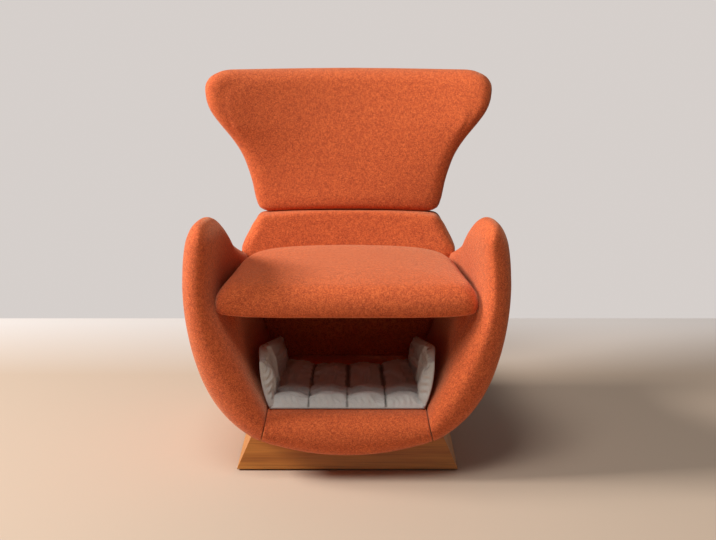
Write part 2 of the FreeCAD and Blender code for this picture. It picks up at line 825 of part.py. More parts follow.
def mitre_wedge(turn):
    """Upright wedge from the middle out past two corners, for one side of the plinth."""
    x = 2.0 * plinth_half_width
    y = 2.0 * plinth_half_depth
    corners = [(x, -y), (x, y), (-x, y), (-x, -y), (x, -y)]
    wire = outline(lambda p: V(p[0], p[1], 0.0), (0.0, 0.0), (corners[turn],), (corners[turn + 1],))
    return plate(wire, V(0, 0, 2.0 * plinth_blank_height))


plinth_boards = [plinth_ring.common(mitre_wedge(turn)).cut(cradle) for turn in range(4)]
plinth_right, plinth_rear, plinth_left, plinth_front = plinth_boards

block_room = plinth_block(plinth_wall, foot_strip_thickness, foot_strip_thickness + corner_block_height)
corner_blocks = []
for side in (-1.0, 1.0):
    for end in (-1.0, 1.0):
        x = side * (plinth_half_width - plinth_wall)
        y = end * (plinth_half_depth - plinth_wall)
        reach_x = side * (plinth_side_slope * corner_block_height + corner_block)
        reach_y = end * (plinth_front_slope * corner_block_height + corner_block)
        room = box(min(x, x - reach_x), max(x, x - reach_x), min(y, y - reach_y), max(y, y - reach_y),
                   0.0, plinth_blank_height)
        corner_blocks.append(block_room.common(room))

deck_low = deck_top_height - deck_thickness
cleat_room = plinth_block(plinth_wall, foot_strip_thickness, deck_low)
cleats = [
    cleat_room.common(box(
        x - cleat_width / 2.0, x + cleat_width / 2.0, -plinth_half_depth, plinth_half_depth,
        deck_low - cleat_depth, deck_low,
    ))
    for x in (cleat_inset - base_board_half_width, base_board_half_width - cleat_inset)
]
deck = box(-base_board_half_width, base_board_half_width, rib_back_y, rear_rib_y, deck_low, deck_top_height)

strip_x = plinth_half_width - foot_strip_inset
strip_y = plinth_half_depth - foot_strip_inset
foot_strip = box(-strip_x, strip_x, -strip_y, strip_y, 0.0, foot_strip_thickness).cut(box(
    foot_strip_width - strip_x, strip_x - foot_strip_width,
    foot_strip_width - strip_y, strip_y - foot_strip_width, 0.0, foot_strip_thickness,
))


# Hexagon-headed coach bolts, up through the deck into the base board

def hexagon(x, y, z):
    corners = [
        V(x + bolt_head_radius * math.cos(turn), y + bolt_head_radius * math.sin(turn), z)
        for turn in [math.radians(60.0 * i) for i in range(7)]
    ]
    return Part.makePolygon(corners)


def shank(diameter, x, y):
    return Part.makeCylinder(diameter / 2.0, deck_thickness + bolt_grip, V(x, y, deck_low))


base_bolts = []
bolt_rooms = []
for y in base_bolt_places:
    for x in (-base_bolt_x, base_bolt_x):
        head = plate(hexagon(x, y, deck_low - bolt_head_height), V(0, 0, bolt_head_height))
        base_bolts.append(head.fuse(shank(bolt_diameter, x, y)))
        bolt_rooms.append(shank(bolt_diameter + bolt_play, x, y))

plinth_deck = without(deck, *bolt_rooms)
base_board_bored = without(base_board, *bolt_rooms)


# Padding, with the room of the frame taken out of it

ribs = [front_rib, rear_rib]
right_rails = [arm_rail_right, seat_rail_right]
right_tenons = tenons[1::2]
arm_right = without(arm_blank, *(ribs + right_rails + right_tenons))
seat_rail_right_mortised = without(seat_rail_right, *right_tenons)

below_deck = box(
    -base_board_half_width, base_board_half_width, rib_back_y, arm_back_y,
    0.0, deck_top_height,
)
tub_floor = without(floor_blank, base_board, below_deck, *ribs)
tub_rear = without(rear_blank, lumbar_recess, rear_frame, *(rear_struts + posts))
wing_back = without(wing_blank, back_board, *posts)

save("foot_strip", foot_strip)
save("plinth_front", plinth_front)
save("plinth_rear", plinth_rear)
save("plinth_left", plinth_left)
save("plinth_right", plinth_right)
save("plinth_corner_blocks", *corner_blocks)
save("plinth_cleats", *cleats)
save("plinth_deck", plinth_deck)
save("base_bolts", *base_bolts)
save("base_board", base_board_bored)
save("front_rib", front_rib)
save("rear_rib", rear_rib)
save("arm_rail_left", mirrored(arm_rail_right))
save("arm_rail_right", arm_rail_right)
save("seat_rail_left", mirrored(seat_rail_right_mortised))
save("seat_rail_right", seat_rail_right_mortised)
save("rear_frame", rear_frame)
save("rear_struts", *rear_struts)
save("nest_back_wall", nest_back)
save("nest_floor", tub_floor)
save("arm_left", mirrored(arm_right))
save("arm_right", arm_right)
save("tub_back", tub_rear)
save("lower_back", lower_back)
save("seat_board", seat_board_mortised)
save("seat_tenons", *tenons)
save("seat_cushion", seat_cushion)
save("wing_back", wing_back)
save("back_board", back_board)
save("back_posts", *posts)
save("pet_mat", pet_mat)
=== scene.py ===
import math
import bmesh
import bpy
import numpy as np
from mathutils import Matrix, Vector


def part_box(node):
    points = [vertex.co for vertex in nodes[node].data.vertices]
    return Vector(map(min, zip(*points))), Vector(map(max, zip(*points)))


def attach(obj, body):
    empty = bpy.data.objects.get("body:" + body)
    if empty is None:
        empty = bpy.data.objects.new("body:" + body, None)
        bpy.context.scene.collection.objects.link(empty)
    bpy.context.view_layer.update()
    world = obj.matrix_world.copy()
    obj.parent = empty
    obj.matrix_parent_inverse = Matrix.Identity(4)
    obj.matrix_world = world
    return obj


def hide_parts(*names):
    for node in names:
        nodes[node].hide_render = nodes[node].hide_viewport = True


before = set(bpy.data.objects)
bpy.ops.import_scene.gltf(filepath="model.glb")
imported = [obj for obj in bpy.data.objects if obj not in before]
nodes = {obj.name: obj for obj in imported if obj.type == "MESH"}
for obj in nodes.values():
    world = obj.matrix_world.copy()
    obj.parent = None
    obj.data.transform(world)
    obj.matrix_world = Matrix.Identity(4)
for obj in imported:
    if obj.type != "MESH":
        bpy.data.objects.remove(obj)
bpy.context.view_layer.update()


# Plinth
# Four oak boards, mitred at the corners and sloping in, sawn on top to the curve of the tub.
# The grain runs along each board. Under them lies a dark strip of felt.

def new_finish(name, roughness):
    """Empty material: its tree, its shader and the object coordinates that every pattern reads."""
    material = bpy.data.materials.new(name)
    material.use_nodes = True
    tree = material.node_tree
    shader = tree.nodes["Principled BSDF"]
    shader.inputs["Roughness"].default_value = roughness
    place = tree.nodes.new("ShaderNodeTexCoord").outputs["Object"]
    return material, tree, shader, place


def feed(tree, socket, value):
    """Links a socket to another one, or sets it to a plain number, vector or colour."""
    if isinstance(value, bpy.types.NodeSocket):
        tree.links.new(value, socket)
    else:
        socket.default_value = value


def new_node(tree, kind, **inputs):
    """Shader node with its named inputs fed."""
    node = tree.nodes.new("ShaderNode" + kind)
    for name, value in inputs.items():
        feed(tree, node.inputs[name], value)
    return node


def mapped(tree, place, scale):
    """The coordinates stretched, so that a pattern follows the piece."""
    return new_node(tree, "Mapping", Vector=place, Scale=scale).outputs["Vector"]


def noise(tree, place, scale, detail=3.0, roughness=0.5, distortion=0.0):
    """Soft random pattern from 0 to 1."""
    texture = new_node(tree, "TexNoise", Vector=place, Scale=scale, Detail=detail,
                       Roughness=roughness, Distortion=distortion)
    return texture.outputs["Fac"]


def ramp(tree, fac, *stops):
    """Colour read from a pattern: each stop is a place from 0 to 1 and a colour."""
    node = new_node(tree, "ValToRGB", Fac=fac)
    colours = node.color_ramp.elements
    while len(colours) < len(stops):
        colours.new(0.5)
    for element, (place, colour) in zip(colours, stops):
        element.position = place
        element.color = (*colour, 1.0)
    return node.outputs["Color"]


def blended(tree, how, fac, first, second):
    """Two colours put together. Each input is a link or a plain value."""
    node = new_node(tree, "Mix")
    node.data_type = "RGBA"
    node.blend_type = how
    for i, value in zip((0, 6, 7), (fac, first, second)):
        feed(tree, node.inputs[i], value)
    return node.outputs[2]


def tinted(tree, base, share, pattern, low, high, tint):
    """The colour times a tint where a pattern is low, and unchanged where it is high."""
    white = (1.0, 1.0, 1.0)
    tints = ramp(tree, pattern, (low, tint), (high, white))
    return blended(tree, "MULTIPLY", share, base, tints)


def raised(tree, shader, height, distance, strength, under=None):
    """Surface relief from a pattern, on top of another relief if one is given."""
    bump = new_node(tree, "Bump", Distance=distance, Strength=strength, Height=height)
    if under is not None:
        tree.links.new(under, bump.inputs["Normal"])
    tree.links.new(bump.outputs["Normal"], shader.inputs["Normal"])
    return bump.outputs["Normal"]


def timber(name, light, dark, roughness, along):
    """Wood: growth rings and pores drawn out along one axis, with slow shifts of tone."""
    material, tree, shader, place = new_finish(name, roughness)

    def grain(lengthwise, crosswise):
        scale = tuple(lengthwise if axis == along else crosswise for axis in "xyz")
        return mapped(tree, place, scale)

    board = grain(1.2, 22.0)
    rings = noise(tree, board, 1.6, 5.0, 0.55, 0.6)
    pores = noise(tree, grain(8.0, 420.0), 1.0, 2.0)
    tone = noise(tree, board, 0.35, 2.0)
    late = tuple(0.8 * c for c in light)
    base = ramp(tree, rings, (0.3, dark), (0.52, light), (0.7, late))
    base = tinted(tree, base, 0.35, pores, 0.35, 0.6, (0.45, 0.35, 0.28))
    base = tinted(tree, base, 0.3, tone, 0.35, 0.65, (0.72, 0.62, 0.52))
    tree.links.new(base, shader.inputs["Base Color"])
    raised(tree, shader, pores, 0.0004, 0.35)
    return material


def dress(name, material):
    """Gives a kept solid its finish by its material slots alone."""
    for slot in nodes[name].material_slots:
        slot.material = material


oak_light, oak_dark, oak_roughness = (0.62, 0.245, 0.040), (0.42, 0.135, 0.016), 0.42
oak_across = timber("oak_grain_across", oak_light, oak_dark, oak_roughness, "x")
oak_deep = timber("oak_grain_deep", oak_light, oak_dark, oak_roughness, "y")
for name in ("plinth_front", "plinth_rear"):
    dress(name, oak_across)
for name in ("plinth_left", "plinth_right"):
    dress(name, oak_deep)

felt, tree, shader, place = new_finish("felt", 0.95)
felt_dark, felt_light = (0.012, 0.009, 0.008), (0.035, 0.028, 0.024)
fluff = ramp(tree, noise(tree, place, 900.0), (0.3, felt_dark), (0.7, felt_light))
tree.links.new(fluff, shader.inputs["Base Color"])
dress("foot_strip", felt)


# Frame inside
# Ribs, rails, boards, blocks and tenons of pale birch plywood and pine, coach bolts and flat
# steel posts. The cover hides all but the underside of the deck.

birch_light, birch_dark, birch_roughness = (0.56, 0.40, 0.22), (0.44, 0.28, 0.14), 0.6
birch_across = timber("birch_across", birch_light, birch_dark, birch_roughness, "x")
birch_deep = timber("birch_deep", birch_light, birch_dark, birch_roughness, "y")
for name in ("front_rib", "rear_rib", "rear_frame", "seat_board", "back_board", "plinth_deck",
             "base_board"):
    dress(name, birch_across)
for name in ("arm_rail_left", "arm_rail_right", "seat_rail_left", "seat_rail_right",
             "rear_struts", "seat_tenons", "plinth_cleats", "plinth_corner_blocks"):
    dress(name, birch_deep)

zinc, tree, shader, place = new_finish("zinc_plated_steel", 0.38)
shader.inputs["Metallic"].default_value = 1.0
brushed = noise(tree, mapped(tree, place, (1500.0, 1500.0, 40.0)), 1.0, 2.0)
steel = ramp(tree, brushed, (0.3, (0.32, 0.33, 0.34)), (0.7, (0.5, 0.51, 0.52)))
tree.links.new(steel, shader.inputs["Base Color"])
raised(tree, shader, brushed, 0.0001, 0.3)
for name in ("base_bolts", "back_posts"):
    dress(name, zinc)


# Sides of the tub with the arms
# Thick foam over the frame under a tight cover of orange melange wool. Each side is one sewn
# panel that rolls round the front edge and over the arm, and ends in a seam at the floor roll.

def maths(tree, how, first, second=0.0):
    """One step of arithmetic on links or plain numbers."""
    node = new_node(tree, "Math")
    node.operation = how
    feed(tree, node.inputs[0], first)
    feed(tree, node.inputs[1], second)
    return node.outputs[0]


def weave_height(tree, place, pitch):
    """Height of a plain weave, the same on every side of a piece: the product of two sine waves
    in each of the three planes, and each plane counts by how squarely the surface faces it."""
    spread = new_node(tree, "SeparateXYZ", Vector=place).outputs
    facing = new_node(tree, "TexCoord").outputs["Normal"]
    facing = new_node(tree, "SeparateXYZ", Vector=facing).outputs
    turns = [maths(tree, "MULTIPLY", spread[i], 2.0 * math.pi / pitch) for i in range(3)]
    waves = [maths(tree, "SINE", turn) for turn in turns]
    total = 0.0
    for i in range(3):
        square = maths(tree, "MULTIPLY", facing[i], facing[i])
        plane = maths(tree, "MULTIPLY", waves[(i + 1) % 3], waves[(i + 2) % 3])
        total = maths(tree, "ADD", maths(tree, "MULTIPLY", square, plane), total)
    return total


def wool_finish(name, deep, warm, light):
    """Melange wool: dark, warm and light fibres mixed yarn by yarn, over a plain weave."""
    material, tree, shader, place = new_finish(name, 0.92)
    yarn = noise(tree, place, 420.0, 2.0, 0.6)
    tuft = noise(tree, place, 125.0, 3.0, 0.7)
    cloud = noise(tree, place, 9.0, 2.0)
    tufted = ramp(tree, tuft, (0.34, (0.27, 0.27, 0.27)), (0.66, (0.73, 0.73, 0.73)))
    base = ramp(tree, yarn, (0.34, deep), (0.5, warm), (0.66, light))
    base = blended(tree, "OVERLAY", 0.55, base, tufted)
    base = tinted(tree, base, 0.22, cloud, 0.3, 0.7, (0.78, 0.72, 0.7))
    tree.links.new(base, shader.inputs["Base Color"])
    shader.inputs["Sheen Weight"].default_value = 0.4
    shader.inputs["Sheen Roughness"].default_value = 0.4
    shader.inputs["Sheen Tint"].default_value = (1.0, 0.66, 0.42, 1.0)
    lower = raised(tree, shader, weave_height(tree, place, 0.0021), 0.0005, 0.5)
    raised(tree, shader, yarn, 0.0012, 0.55, lower)
    return material


wool = wool_finish("orange_wool", (0.44, 0.064, 0.012), (0.61, 0.105, 0.022), (0.78, 0.175, 0.047))
flip = np.array([-1.0, 1.0])


def point(x, y):
    """Points of flat sections, from two coordinates of which either may be a plain number."""
    return np.stack(np.broadcast_arrays(x, y), axis=-1)


def mix(a, b, share):
    """From a to b in a straight line."""
    return a + (b - a) * share


def eased(t):
    """From 0 to 1 along a smooth step, and level before and after it."""
    t = np.clip(t, 0.0, 1.0)
    return t * t * (3.0 - 2.0 * t)


def run(start, end, count, middle=None):
    """Points from start up to, but without, end: a line, or the parabola through a middle."""
    t = (np.arange(count) / count).reshape((count,) + (1,) * start.ndim)
    if middle is None:
        return start + (end - start) * t
    return (start * (1.0 - t) * (1.0 - 2.0 * t) + middle * 4.0 * t * (1.0 - t)
            + end * t * (2.0 * t - 1.0))


def closed_path(*legs):
    """Points round a closed section. A leg is its first point, its count of points and, where
    it is curved, its middle point."""
    ends = [leg[0] for leg in legs[1:]] + [legs[0][0]]
    return np.concatenate([run(leg[0], end, *leg[1:]) for leg, end in zip(legs, ends)])


def softened(loop, reach):
    """Each point of a closed loop moved to the bell-weighted mean of its neighbours.

    reach is the bell's width in points, one for the loop or one for each point: the loop is
    softened by four fixed widths, and each point takes a mix of the two round its own."""
    widths = np.array([0.0, 1.0, 3.0, 9.0, 20.0])
    waves = np.fft.fftfreq(len(loop)).reshape((-1,) + (1,) * (loop.ndim - 1))
    spectrum = np.fft.fft(loop, axis=0)
    levels = [np.fft.ifft(spectrum * np.exp(-2.0 * (math.pi * waves * w) ** 2), axis=0).real
              for w in widths]
    result = np.zeros_like(levels[0])
    for k, level in enumerate(levels):
        weight = np.interp(reach, widths, np.eye(len(widths))[k])
        result += level * weight.reshape((-1,) + (1,) * (loop.ndim - 1))
    return result


def pinched(loop, share, end=0, far_end=0):
    """The loop drawn to its own middle line: each point moves towards the point halfway to its
    opposite, counted the other way round from the start, and closes up as share goes to 0.
    The last points of the middle line, end of them at the start and far_end of them opposite,
    gather in one. share has a value for each section, or for each point and section."""
    size = len(loop)
    middle = (loop + np.roll(loop[::-1], 1, axis=0)) / 2.0
    half = size // 2
    place = np.clip(np.minimum(np.arange(size), size - np.arange(size)), end, half - far_end)
    middle = middle[place]
    return middle + (loop - middle) * share[..., None]


def placed(name, data):
    """New object in the scene for a mesh, a lamp or a camera."""
    thing = bpy.data.objects.new(name, data)
    bpy.context.scene.collection.objects.link(thing)
    return thing


def meshed(name, points, faces):
    """New piece from its points and faces."""
    mesh = bpy.data.meshes.new(name)
    mesh.from_pydata(points, [], faces)
    return placed(name, mesh)


def closed_skin(name, rings, caps=(True, True), held=None, seam=None):
    """Mesh over a stack of closed rings, an array of rings by points by 3. A capped end is drawn
    to its middle point, and one that was pinched to a line closes where its two sides meet.
    The faces are worked out as one array and then turned outwards. held marks the points that
    a seam holds fast when the piece is filled, and seam says how near a seam each point lies."""
    count, size = rings.shape[:2]
    ends = [i for i, wanted in zip((0, count - 1), caps) if wanted]
    points = np.vstack([rings.reshape(-1, 3)] + [rings[i].mean(axis=0)[None] for i in ends])
    spokes = np.arange(size)
    after = (spokes + 1) % size
    starts = np.arange(count - 1)[:, None] * size
    low = (starts + spokes).ravel()
    turn = (starts + after).ravel()
    faces = np.stack([low, turn, turn + size, low + size], axis=1).tolist()
    for k, i in enumerate(ends):
        centre = np.full(size, count * size + k)
        sides = [after, spokes] if i == 0 else [spokes, after]
        faces += np.stack([side + i * size for side in sides] + [centre], axis=1).tolist()
    piece = meshed(name, points.tolist(), faces)
    if held is not None:
        group = piece.vertex_groups.new(name="held")
        group.add(np.flatnonzero(held).tolist(), 1.0, "REPLACE")
    if seam is not None:
        nearness = piece.data.attributes.new("seam", "FLOAT", "POINT")
        nearness.data.foreach_set("value", seam.ravel())
    closed_up(piece)
    return piece


def closed_up(piece, reach=0.0001):
    """Joins points within reach of each other, such as both sides of a drawn-in edge, and turns
    the faces outwards."""
    work = bmesh.new()
    work.from_mesh(piece.data)
    bmesh.ops.remove_doubles(work, verts=work.verts, dist=reach)
    bmesh.ops.dissolve_degenerate(work, dist=0.00001, edges=work.edges)
    bmesh.ops.recalc_face_normals(work, faces=work.faces)
    work.to_mesh(piece.data)
    work.free()
    piece.data.shade_smooth()


def stuffed(piece, reach, voxel):
    """Swells a piece as foam fills its cover, over an even mesh of small squares."""
    remesh = piece.modifiers.new("even", "REMESH")
    remesh.mode = "VOXEL"
    remesh.voxel_size = voxel
    depsgraph = bpy.context.evaluated_depsgraph_get()
    piece.data = bpy.data.meshes.new_from_object(piece.evaluated_get(depsgraph))
    piece.modifiers.clear()
    filled(piece, reach, pressure=4.0, stretch=30.0, bend=4.0)


fill_frames = 20


def filled(piece, reach, pressure, stretch, bend, growth=0.0, seams=""):
    """Some frames of cloth under pressure without weight, and then no point further than reach
    from where it began. The cloth may have spare width, and seams that hold it fast."""
    before = np.empty(len(piece.data.vertices) * 3)
    piece.data.vertices.foreach_get("co", before)
    cloth = piece.modifiers.new("fill", "CLOTH")
    settings = {
        "quality": 4, "mass": 0.3, "tension_stiffness": stretch, "compression_stiffness": stretch,
        "bending_stiffness": bend, "shrink_min": -growth, "vertex_group_mass": seams,
        "use_pressure": True, "uniform_pressure_force": pressure,
    }
    for setting, value in settings.items():
        setattr(cloth.settings, setting, value)
    cloth.settings.effector_weights.gravity = 0.0
    cloth.collision_settings.use_collision = False
    cloth.point_cache.frame_start = 1
    cloth.point_cache.frame_end = fill_frames
    for moment in range(1, fill_frames + 1):
        bpy.context.scene.frame_set(moment)
    depsgraph = bpy.context.evaluated_depsgraph_get()
    swollen = piece.evaluated_get(depsgraph).to_mesh()
    after = np.empty(len(swollen.vertices) * 3)
    swollen.vertices.foreach_get("co", after)
    piece.evaluated_get(depsgraph).to_mesh_clear()
    piece.modifiers.clear()
    bpy.context.scene.frame_set(1)
    moved = (after - before).reshape(-1, 3)
    length = np.linalg.norm(moved, axis=1, keepdims=True)
    moved *= np.minimum(1.0, reach / np.maximum(length, 1e-9))
    piece.data.vertices.foreach_set("co", (before.reshape(-1, 3) + moved).ravel())
    piece.data.shade_smooth()


def upholstered(piece, material, slot, fill, *replaced):
    """Finish, body and hidden replaced parts of a padded piece. slot and fill are not used."""
    piece.data.materials.clear()
    piece.data.materials.append(material)
    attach(piece, "mat" if "pet_mat" in replaced else "chair")
    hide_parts(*replaced)


tub_half_width = 0.384
tub_tail_narrowing = 0.022
arm_top = 0.641
arm_tail = 0.469
arm_tail_fall = 0.015
hip_height = 0.282
hip_rise = 0.008
shelf_height = 0.407
seat_wall = 0.314
seat_wall_narrowing = 0.024
nest_floor = 0.163
nest_half_width = 0.190
nest_top_half_width = 0.264
nest_narrowing = 0.006
nest_wall_bulge = 0.012
crest_waist = 0.006
seam_half_width = 0.206
seam_height = 0.092
tub_front = -0.348
nose_depth = 0.055
nose_y = tub_front + nose_depth
inner_roll_depth = 0.150
inner_roll_y = tub_front + inner_roll_depth
inner_tuck = 0.017
tuck_start_y = -0.060
tuck_length = 0.180
roll_start_y = -0.180
roll_fade = 0.090
arm_back_y = 0.150
front_lean = 0.06
lean_pivot = 0.300

# Pairs: at the front edge and at the back of the arm
hip_inset = (0.024, 0.0168)
shoulder_inset = (0.022, 0.013)
shoulder_drop = (0.023, 0.020)
crest_width = (0.070, 0.060)
inner_drop = (0.035, 0.017)

# Where a key point lies between its neighbours: shares across and up, for the side up alone and
# for the crest across at the front and at the back
lower_side_at = (0.617, 0.374)
side_at = 0.55
crest_at = (0.49, 0.76)
nest_wall_at = (0.5, 0.54)


def arm_ease(y):
    """0 at the front edge to 1 at the back of the arm, along a half cosine."""
    return (1.0 - np.cos(math.pi * np.clip((y - nose_y) / (arm_back_y - nose_y), 0.0, 1.0))) / 2.0


def arm_points(y):
    """Eleven key points of the section at each y: seam, lower side, hip, side, shoulder, crest,
    inner edge, foot of the inner face, edge of the shelf, nest wall and top of the seam."""
    ease = arm_ease(y)
    outer = tub_half_width - tub_tail_narrowing * ease
    top = mix(arm_top, arm_tail, ease) - arm_tail_fall * (np.maximum(0.0, y) / arm_back_y) ** 2
    hip_x = outer - mix(*hip_inset, ease)
    hip_z = hip_height + hip_rise * ease
    nest = nest_top_half_width - nest_narrowing * ease
    shoulder_x = outer - mix(*shoulder_inset, ease)
    shoulder_z = top - mix(*shoulder_drop, ease)
    turn_in = eased((y - tuck_start_y) / tuck_length)
    tuck = inner_tuck * turn_in
    waist = crest_waist * np.sin(math.pi * ease)
    inner_x = shoulder_x - mix(*crest_width, ease) - waist - tuck
    still = np.zeros_like(y)
    rows = [
        (seam_half_width + still, seam_height + still),
        (mix(seam_half_width, hip_x, lower_side_at[0]), mix(seam_height, hip_z, lower_side_at[1])),
        (hip_x, hip_z),
        (outer, mix(hip_z, shoulder_z, side_at)),
        (shoulder_x, shoulder_z),
        (mix(shoulder_x, inner_x, mix(*crest_at, turn_in)), top),
        (inner_x, top - mix(*inner_drop, ease)),
        (seat_wall - seat_wall_narrowing * ease - tuck, shelf_height + still),
        (nest, shelf_height + still),
        (mix(nest, nest_half_width, nest_wall_at[0]) + nest_wall_bulge,
         mix(shelf_height, nest_floor, nest_wall_at[1]) + still),
        (nest_half_width + still, nest_floor + still),
    ]
    return np.array(rows).transpose(0, 2, 1)


def leaned(flat, y):
    """Section points (x, z) at each y, put on planes that lean forward over the front."""
    lean = front_lean * np.clip((arm_back_y - y) / (arm_back_y - nose_y), 0.0, 1.0)
    across, up = flat[..., 0], flat[..., 1]
    return np.stack([across, y - lean * (up - lean_pivot), up], axis=-1).transpose(1, 0, 2)


# Stations: a quarter ellipse round the front edge, even steps along the arm, a small round at
# the sewn end. The share says how full the section is.
edge_steps = 16
arm_steps = 64
tail_steps = 5
edge_round = 0.004
tail_loss = 0.08
turns = np.linspace(math.pi / 2.0, 0.0, edge_steps)[:-1]
tail_turns = np.linspace(0.0, math.pi / 2.0, tail_steps)
station_y = np.concatenate([
    nose_y - nose_depth * np.sin(turns),
    np.linspace(nose_y, arm_back_y - edge_round, arm_steps)[:-1],
    arm_back_y - edge_round + edge_round * np.sin(tail_turns),
])
station_share = np.concatenate([
    np.cos(turns),
    np.ones(arm_steps - 1),
    1.0 - tail_loss * (1.0 - np.cos(tail_turns)),
])

# Widths of softening along the section, as point and width: everywhere, and over the front
side_soft = np.array([
    [0, 1], [8, 1.1], [12, 1.1], [30, 9], [69, 14], [110, 14], [140, 7], [158, 5], [168, 5],
    [182, 6], [200, 7], [240, 5], [250, 1.5], [256, 1.5], [265, 1.5], [269, 3], [290, 9],
    [320, 3], [326, 1.1], [335, 1],
])
front_soft = np.array([
    [12, 1], [30, 9], [120, 14], [140, 9], [200, 11], [225, 20], [290, 20], [310, 3], [335, 1],
])
inner_face = np.array([[150, 0], [186, 1], [280, 1], [322, 0]])
seam_points = 9
crest_points = 24
crest_lift = 0.002
crest_fullness = 0.9


def side_loops(y, share):
    """Closed section of one side at each y, from the middle of the seam face round the outside
    to the crest and back by the nest. The edges are hardly softened at the seams and the shelf,
    more over the crest and most on the broad faces. The face towards the seat rolls round the
    front over a quarter ellipse of its own, much deeper than the outer one, and towards the
    front the shelf under the seat fades away."""
    p = arm_points(y)
    seam = (p[0] + p[10]) / 2.0
    chord = (p[4] + p[6]) / 2.0
    over = chord + (p[5] - chord) * 0.75
    crest = p[5] + np.array([0.0, crest_lift])
    bow = (crest - over) * crest_fullness
    loops = closed_path(
        (seam, seam_points), (p[0], 60, p[1]), (p[2], 82, p[3]),
        (p[4], 17, mix(p[4], crest, 0.5) + bow), (crest, 17, mix(crest, p[6], 0.5) + bow),
        (p[6], 68), (p[7], 14), (p[8], 60, p[9]), (p[10], seam_points),
    )
    at = np.arange(len(loops))
    reach = np.interp(at, *side_soft.T)
    wide = np.maximum(np.interp(at, *front_soft.T), reach)
    inner = eased(np.interp(at, *inner_face.T))[:, None]
    roll = np.sqrt(1.0 - np.clip((inner_roll_y - y) / inner_roll_depth, 0.0, 1.0) ** 2)
    roll = np.where(y < inner_roll_y, roll, share)
    front = eased((roll_start_y - y) / roll_fade)[:, None]
    loops = mix(softened(loops, reach), softened(loops, wide), front)
    return pinched(loops, mix(share, roll, inner), seam_points, crest_points)


side_rings = leaned(side_loops(station_y, station_share), station_y)
tub_right = closed_skin("tub_side_right", side_rings, caps=(False, True))
tub_left = closed_skin("tub_side_left", side_rings * [-1.0, 1.0, 1.0], caps=(False, True))
upholstered(tub_right, wool, "wool", 0.9, "arm_right")
upholstered(tub_left, wool, "wool", 0.9, "arm_left")


# Floor roll of the tub
# One padded panel that runs from the mouth of the nest to its back and rolls down over the
# front edge, sewn to both sides.

keel_height = 0.053
seam_gap = 0.0004
floor_points = 104

# The four edges of the panel as columns of points, and the width of softening between them
edges = np.cumsum([seam_points, floor_points, 2 * seam_points, floor_points])
floor_soft = np.array([
    [0, 0.8], [9, 0.8], [20, 3], [61, 9], [102, 3], [113, 0.8], [131, 0.8], [142, 5], [183, 9],
    [224, 5], [235, 0.8], [243, 0.8],
])


def floor_loops(y, share):
    """Closed section from the middle of the right seam over the flat top, and back below along
    the curve of the keel."""
    gap = np.array([seam_gap, 0.0])
    still = 0.0 * y[:, None]
    low = np.array([seam_half_width, seam_height]) - gap + still
    top = np.array([nest_half_width, nest_floor]) - gap + still
    seam = (low + top) / 2.0
    keel = np.array([0.0, keel_height]) + still
    loops = closed_path(
        (seam, seam_points), (top, floor_points), (top * flip, seam_points),
        (seam * flip, seam_points), (low * flip, floor_points, keel), (low, seam_points),
    )
    reach = np.interp(np.arange(len(loops)), *floor_soft.T)
    return pinched(softened(loops, reach), share, seam_points, seam_points)


# Columns beside the four edges, where a row of stitches draws the cover down
stitch_column = 2
stitch_dip = 0.0014
stitched = edges + stitch_column * np.array([1, -1, 1, -1])
dips = stitch_dip * np.array([-1.0, -1.0, 1.0, 1.0])
floor_rings = leaned(floor_loops(station_y, station_share), station_y)
floor_rings[:, stitched, 2] += dips * station_share[:, None]
floor_roll = closed_skin("floor_roll", floor_rings, caps=(False, True))
upholstered(floor_roll, wool, "wool", 0.9, "nest_floor")


# Topstitching
# A row of stitches in orange thread beside each seam of the floor roll, on the side of the roll,
# from the back of the nest over the front edge and down under the tub.

thread_radius = 0.0006
stitch_length = 0.0042
stitch_pitch = 0.0056
orange_thread, tree, shader, place = new_finish("orange_thread", 0.55)
shader.inputs["Base Color"].default_value = (0.50, 0.085, 0.022, 1.0)


def seam_route(shift=0):
    """Points from the back of the nest forward over the roll and back under it, along the row
    of stitches or a number of columns beside it."""
    top, low = stitched[0] + shift, stitched[3] + shift
    return np.concatenate([floor_rings[::-1, top], floor_rings[1:, low]])


def stitches(name, route, aside, side):
    """Thin capsules of six sides at an even pitch along a route, each half sunk in the cloth.
    A capsule is five rings of six points, narrow at both ends."""
    gone = np.insert(np.cumsum(np.linalg.norm(np.diff(route, axis=0), axis=1)), 0, 0.0)
    at = np.arange(stitch_pitch, gone[-1] - stitch_pitch, stitch_pitch)

    def along(values, where):
        return np.stack([np.interp(where, gone, values[:, k]) for k in range(3)], axis=1)

    middle = along(route, at)
    ahead = along(route, at + stitch_length / 2.0) - along(route, at - stitch_length / 2.0)
    ahead /= np.linalg.norm(ahead, axis=1, keepdims=True)
    out = np.cross(along(aside, at), ahead)
    out /= np.linalg.norm(out, axis=1, keepdims=True)
    across = np.cross(ahead, out)
    reach = np.array([-1.0, -0.85, 0.0, 0.85, 1.0])[None, :, None, None] * stitch_length / 2.0
    wide = np.array([0.2, 0.85, 1.0, 0.85, 0.2])[None, :, None, None] * thread_radius
    angle = (np.arange(6) * math.pi / 3.0)[None, None, :, None]
    points = middle[:, None, None] + ahead[:, None, None] * reach + wide * (
        across[:, None, None] * np.cos(angle) + out[:, None, None] * np.sin(angle)
    )
    spoke = np.arange(6)
    after = (spoke + 1) % 6
    ring = np.arange(4)[:, None] * 6
    walls = np.stack([ring + spoke, ring + after, ring + 6 + after, ring + 6 + spoke], axis=-1)
    first = np.arange(len(at))[:, None] * 30
    faces = (first[:, None] + walls.reshape(1, -1, 4)).reshape(-1, 4).tolist()
    faces += (first + spoke[::-1]).tolist() + (first + 24 + spoke).tolist()
    row = meshed(name, (points.reshape(-1, 3) * [side, 1.0, 1.0]).tolist(), faces)
    row.data.materials.append(orange_thread)
    closed_up(row, 0.00001)
    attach(row, "chair")


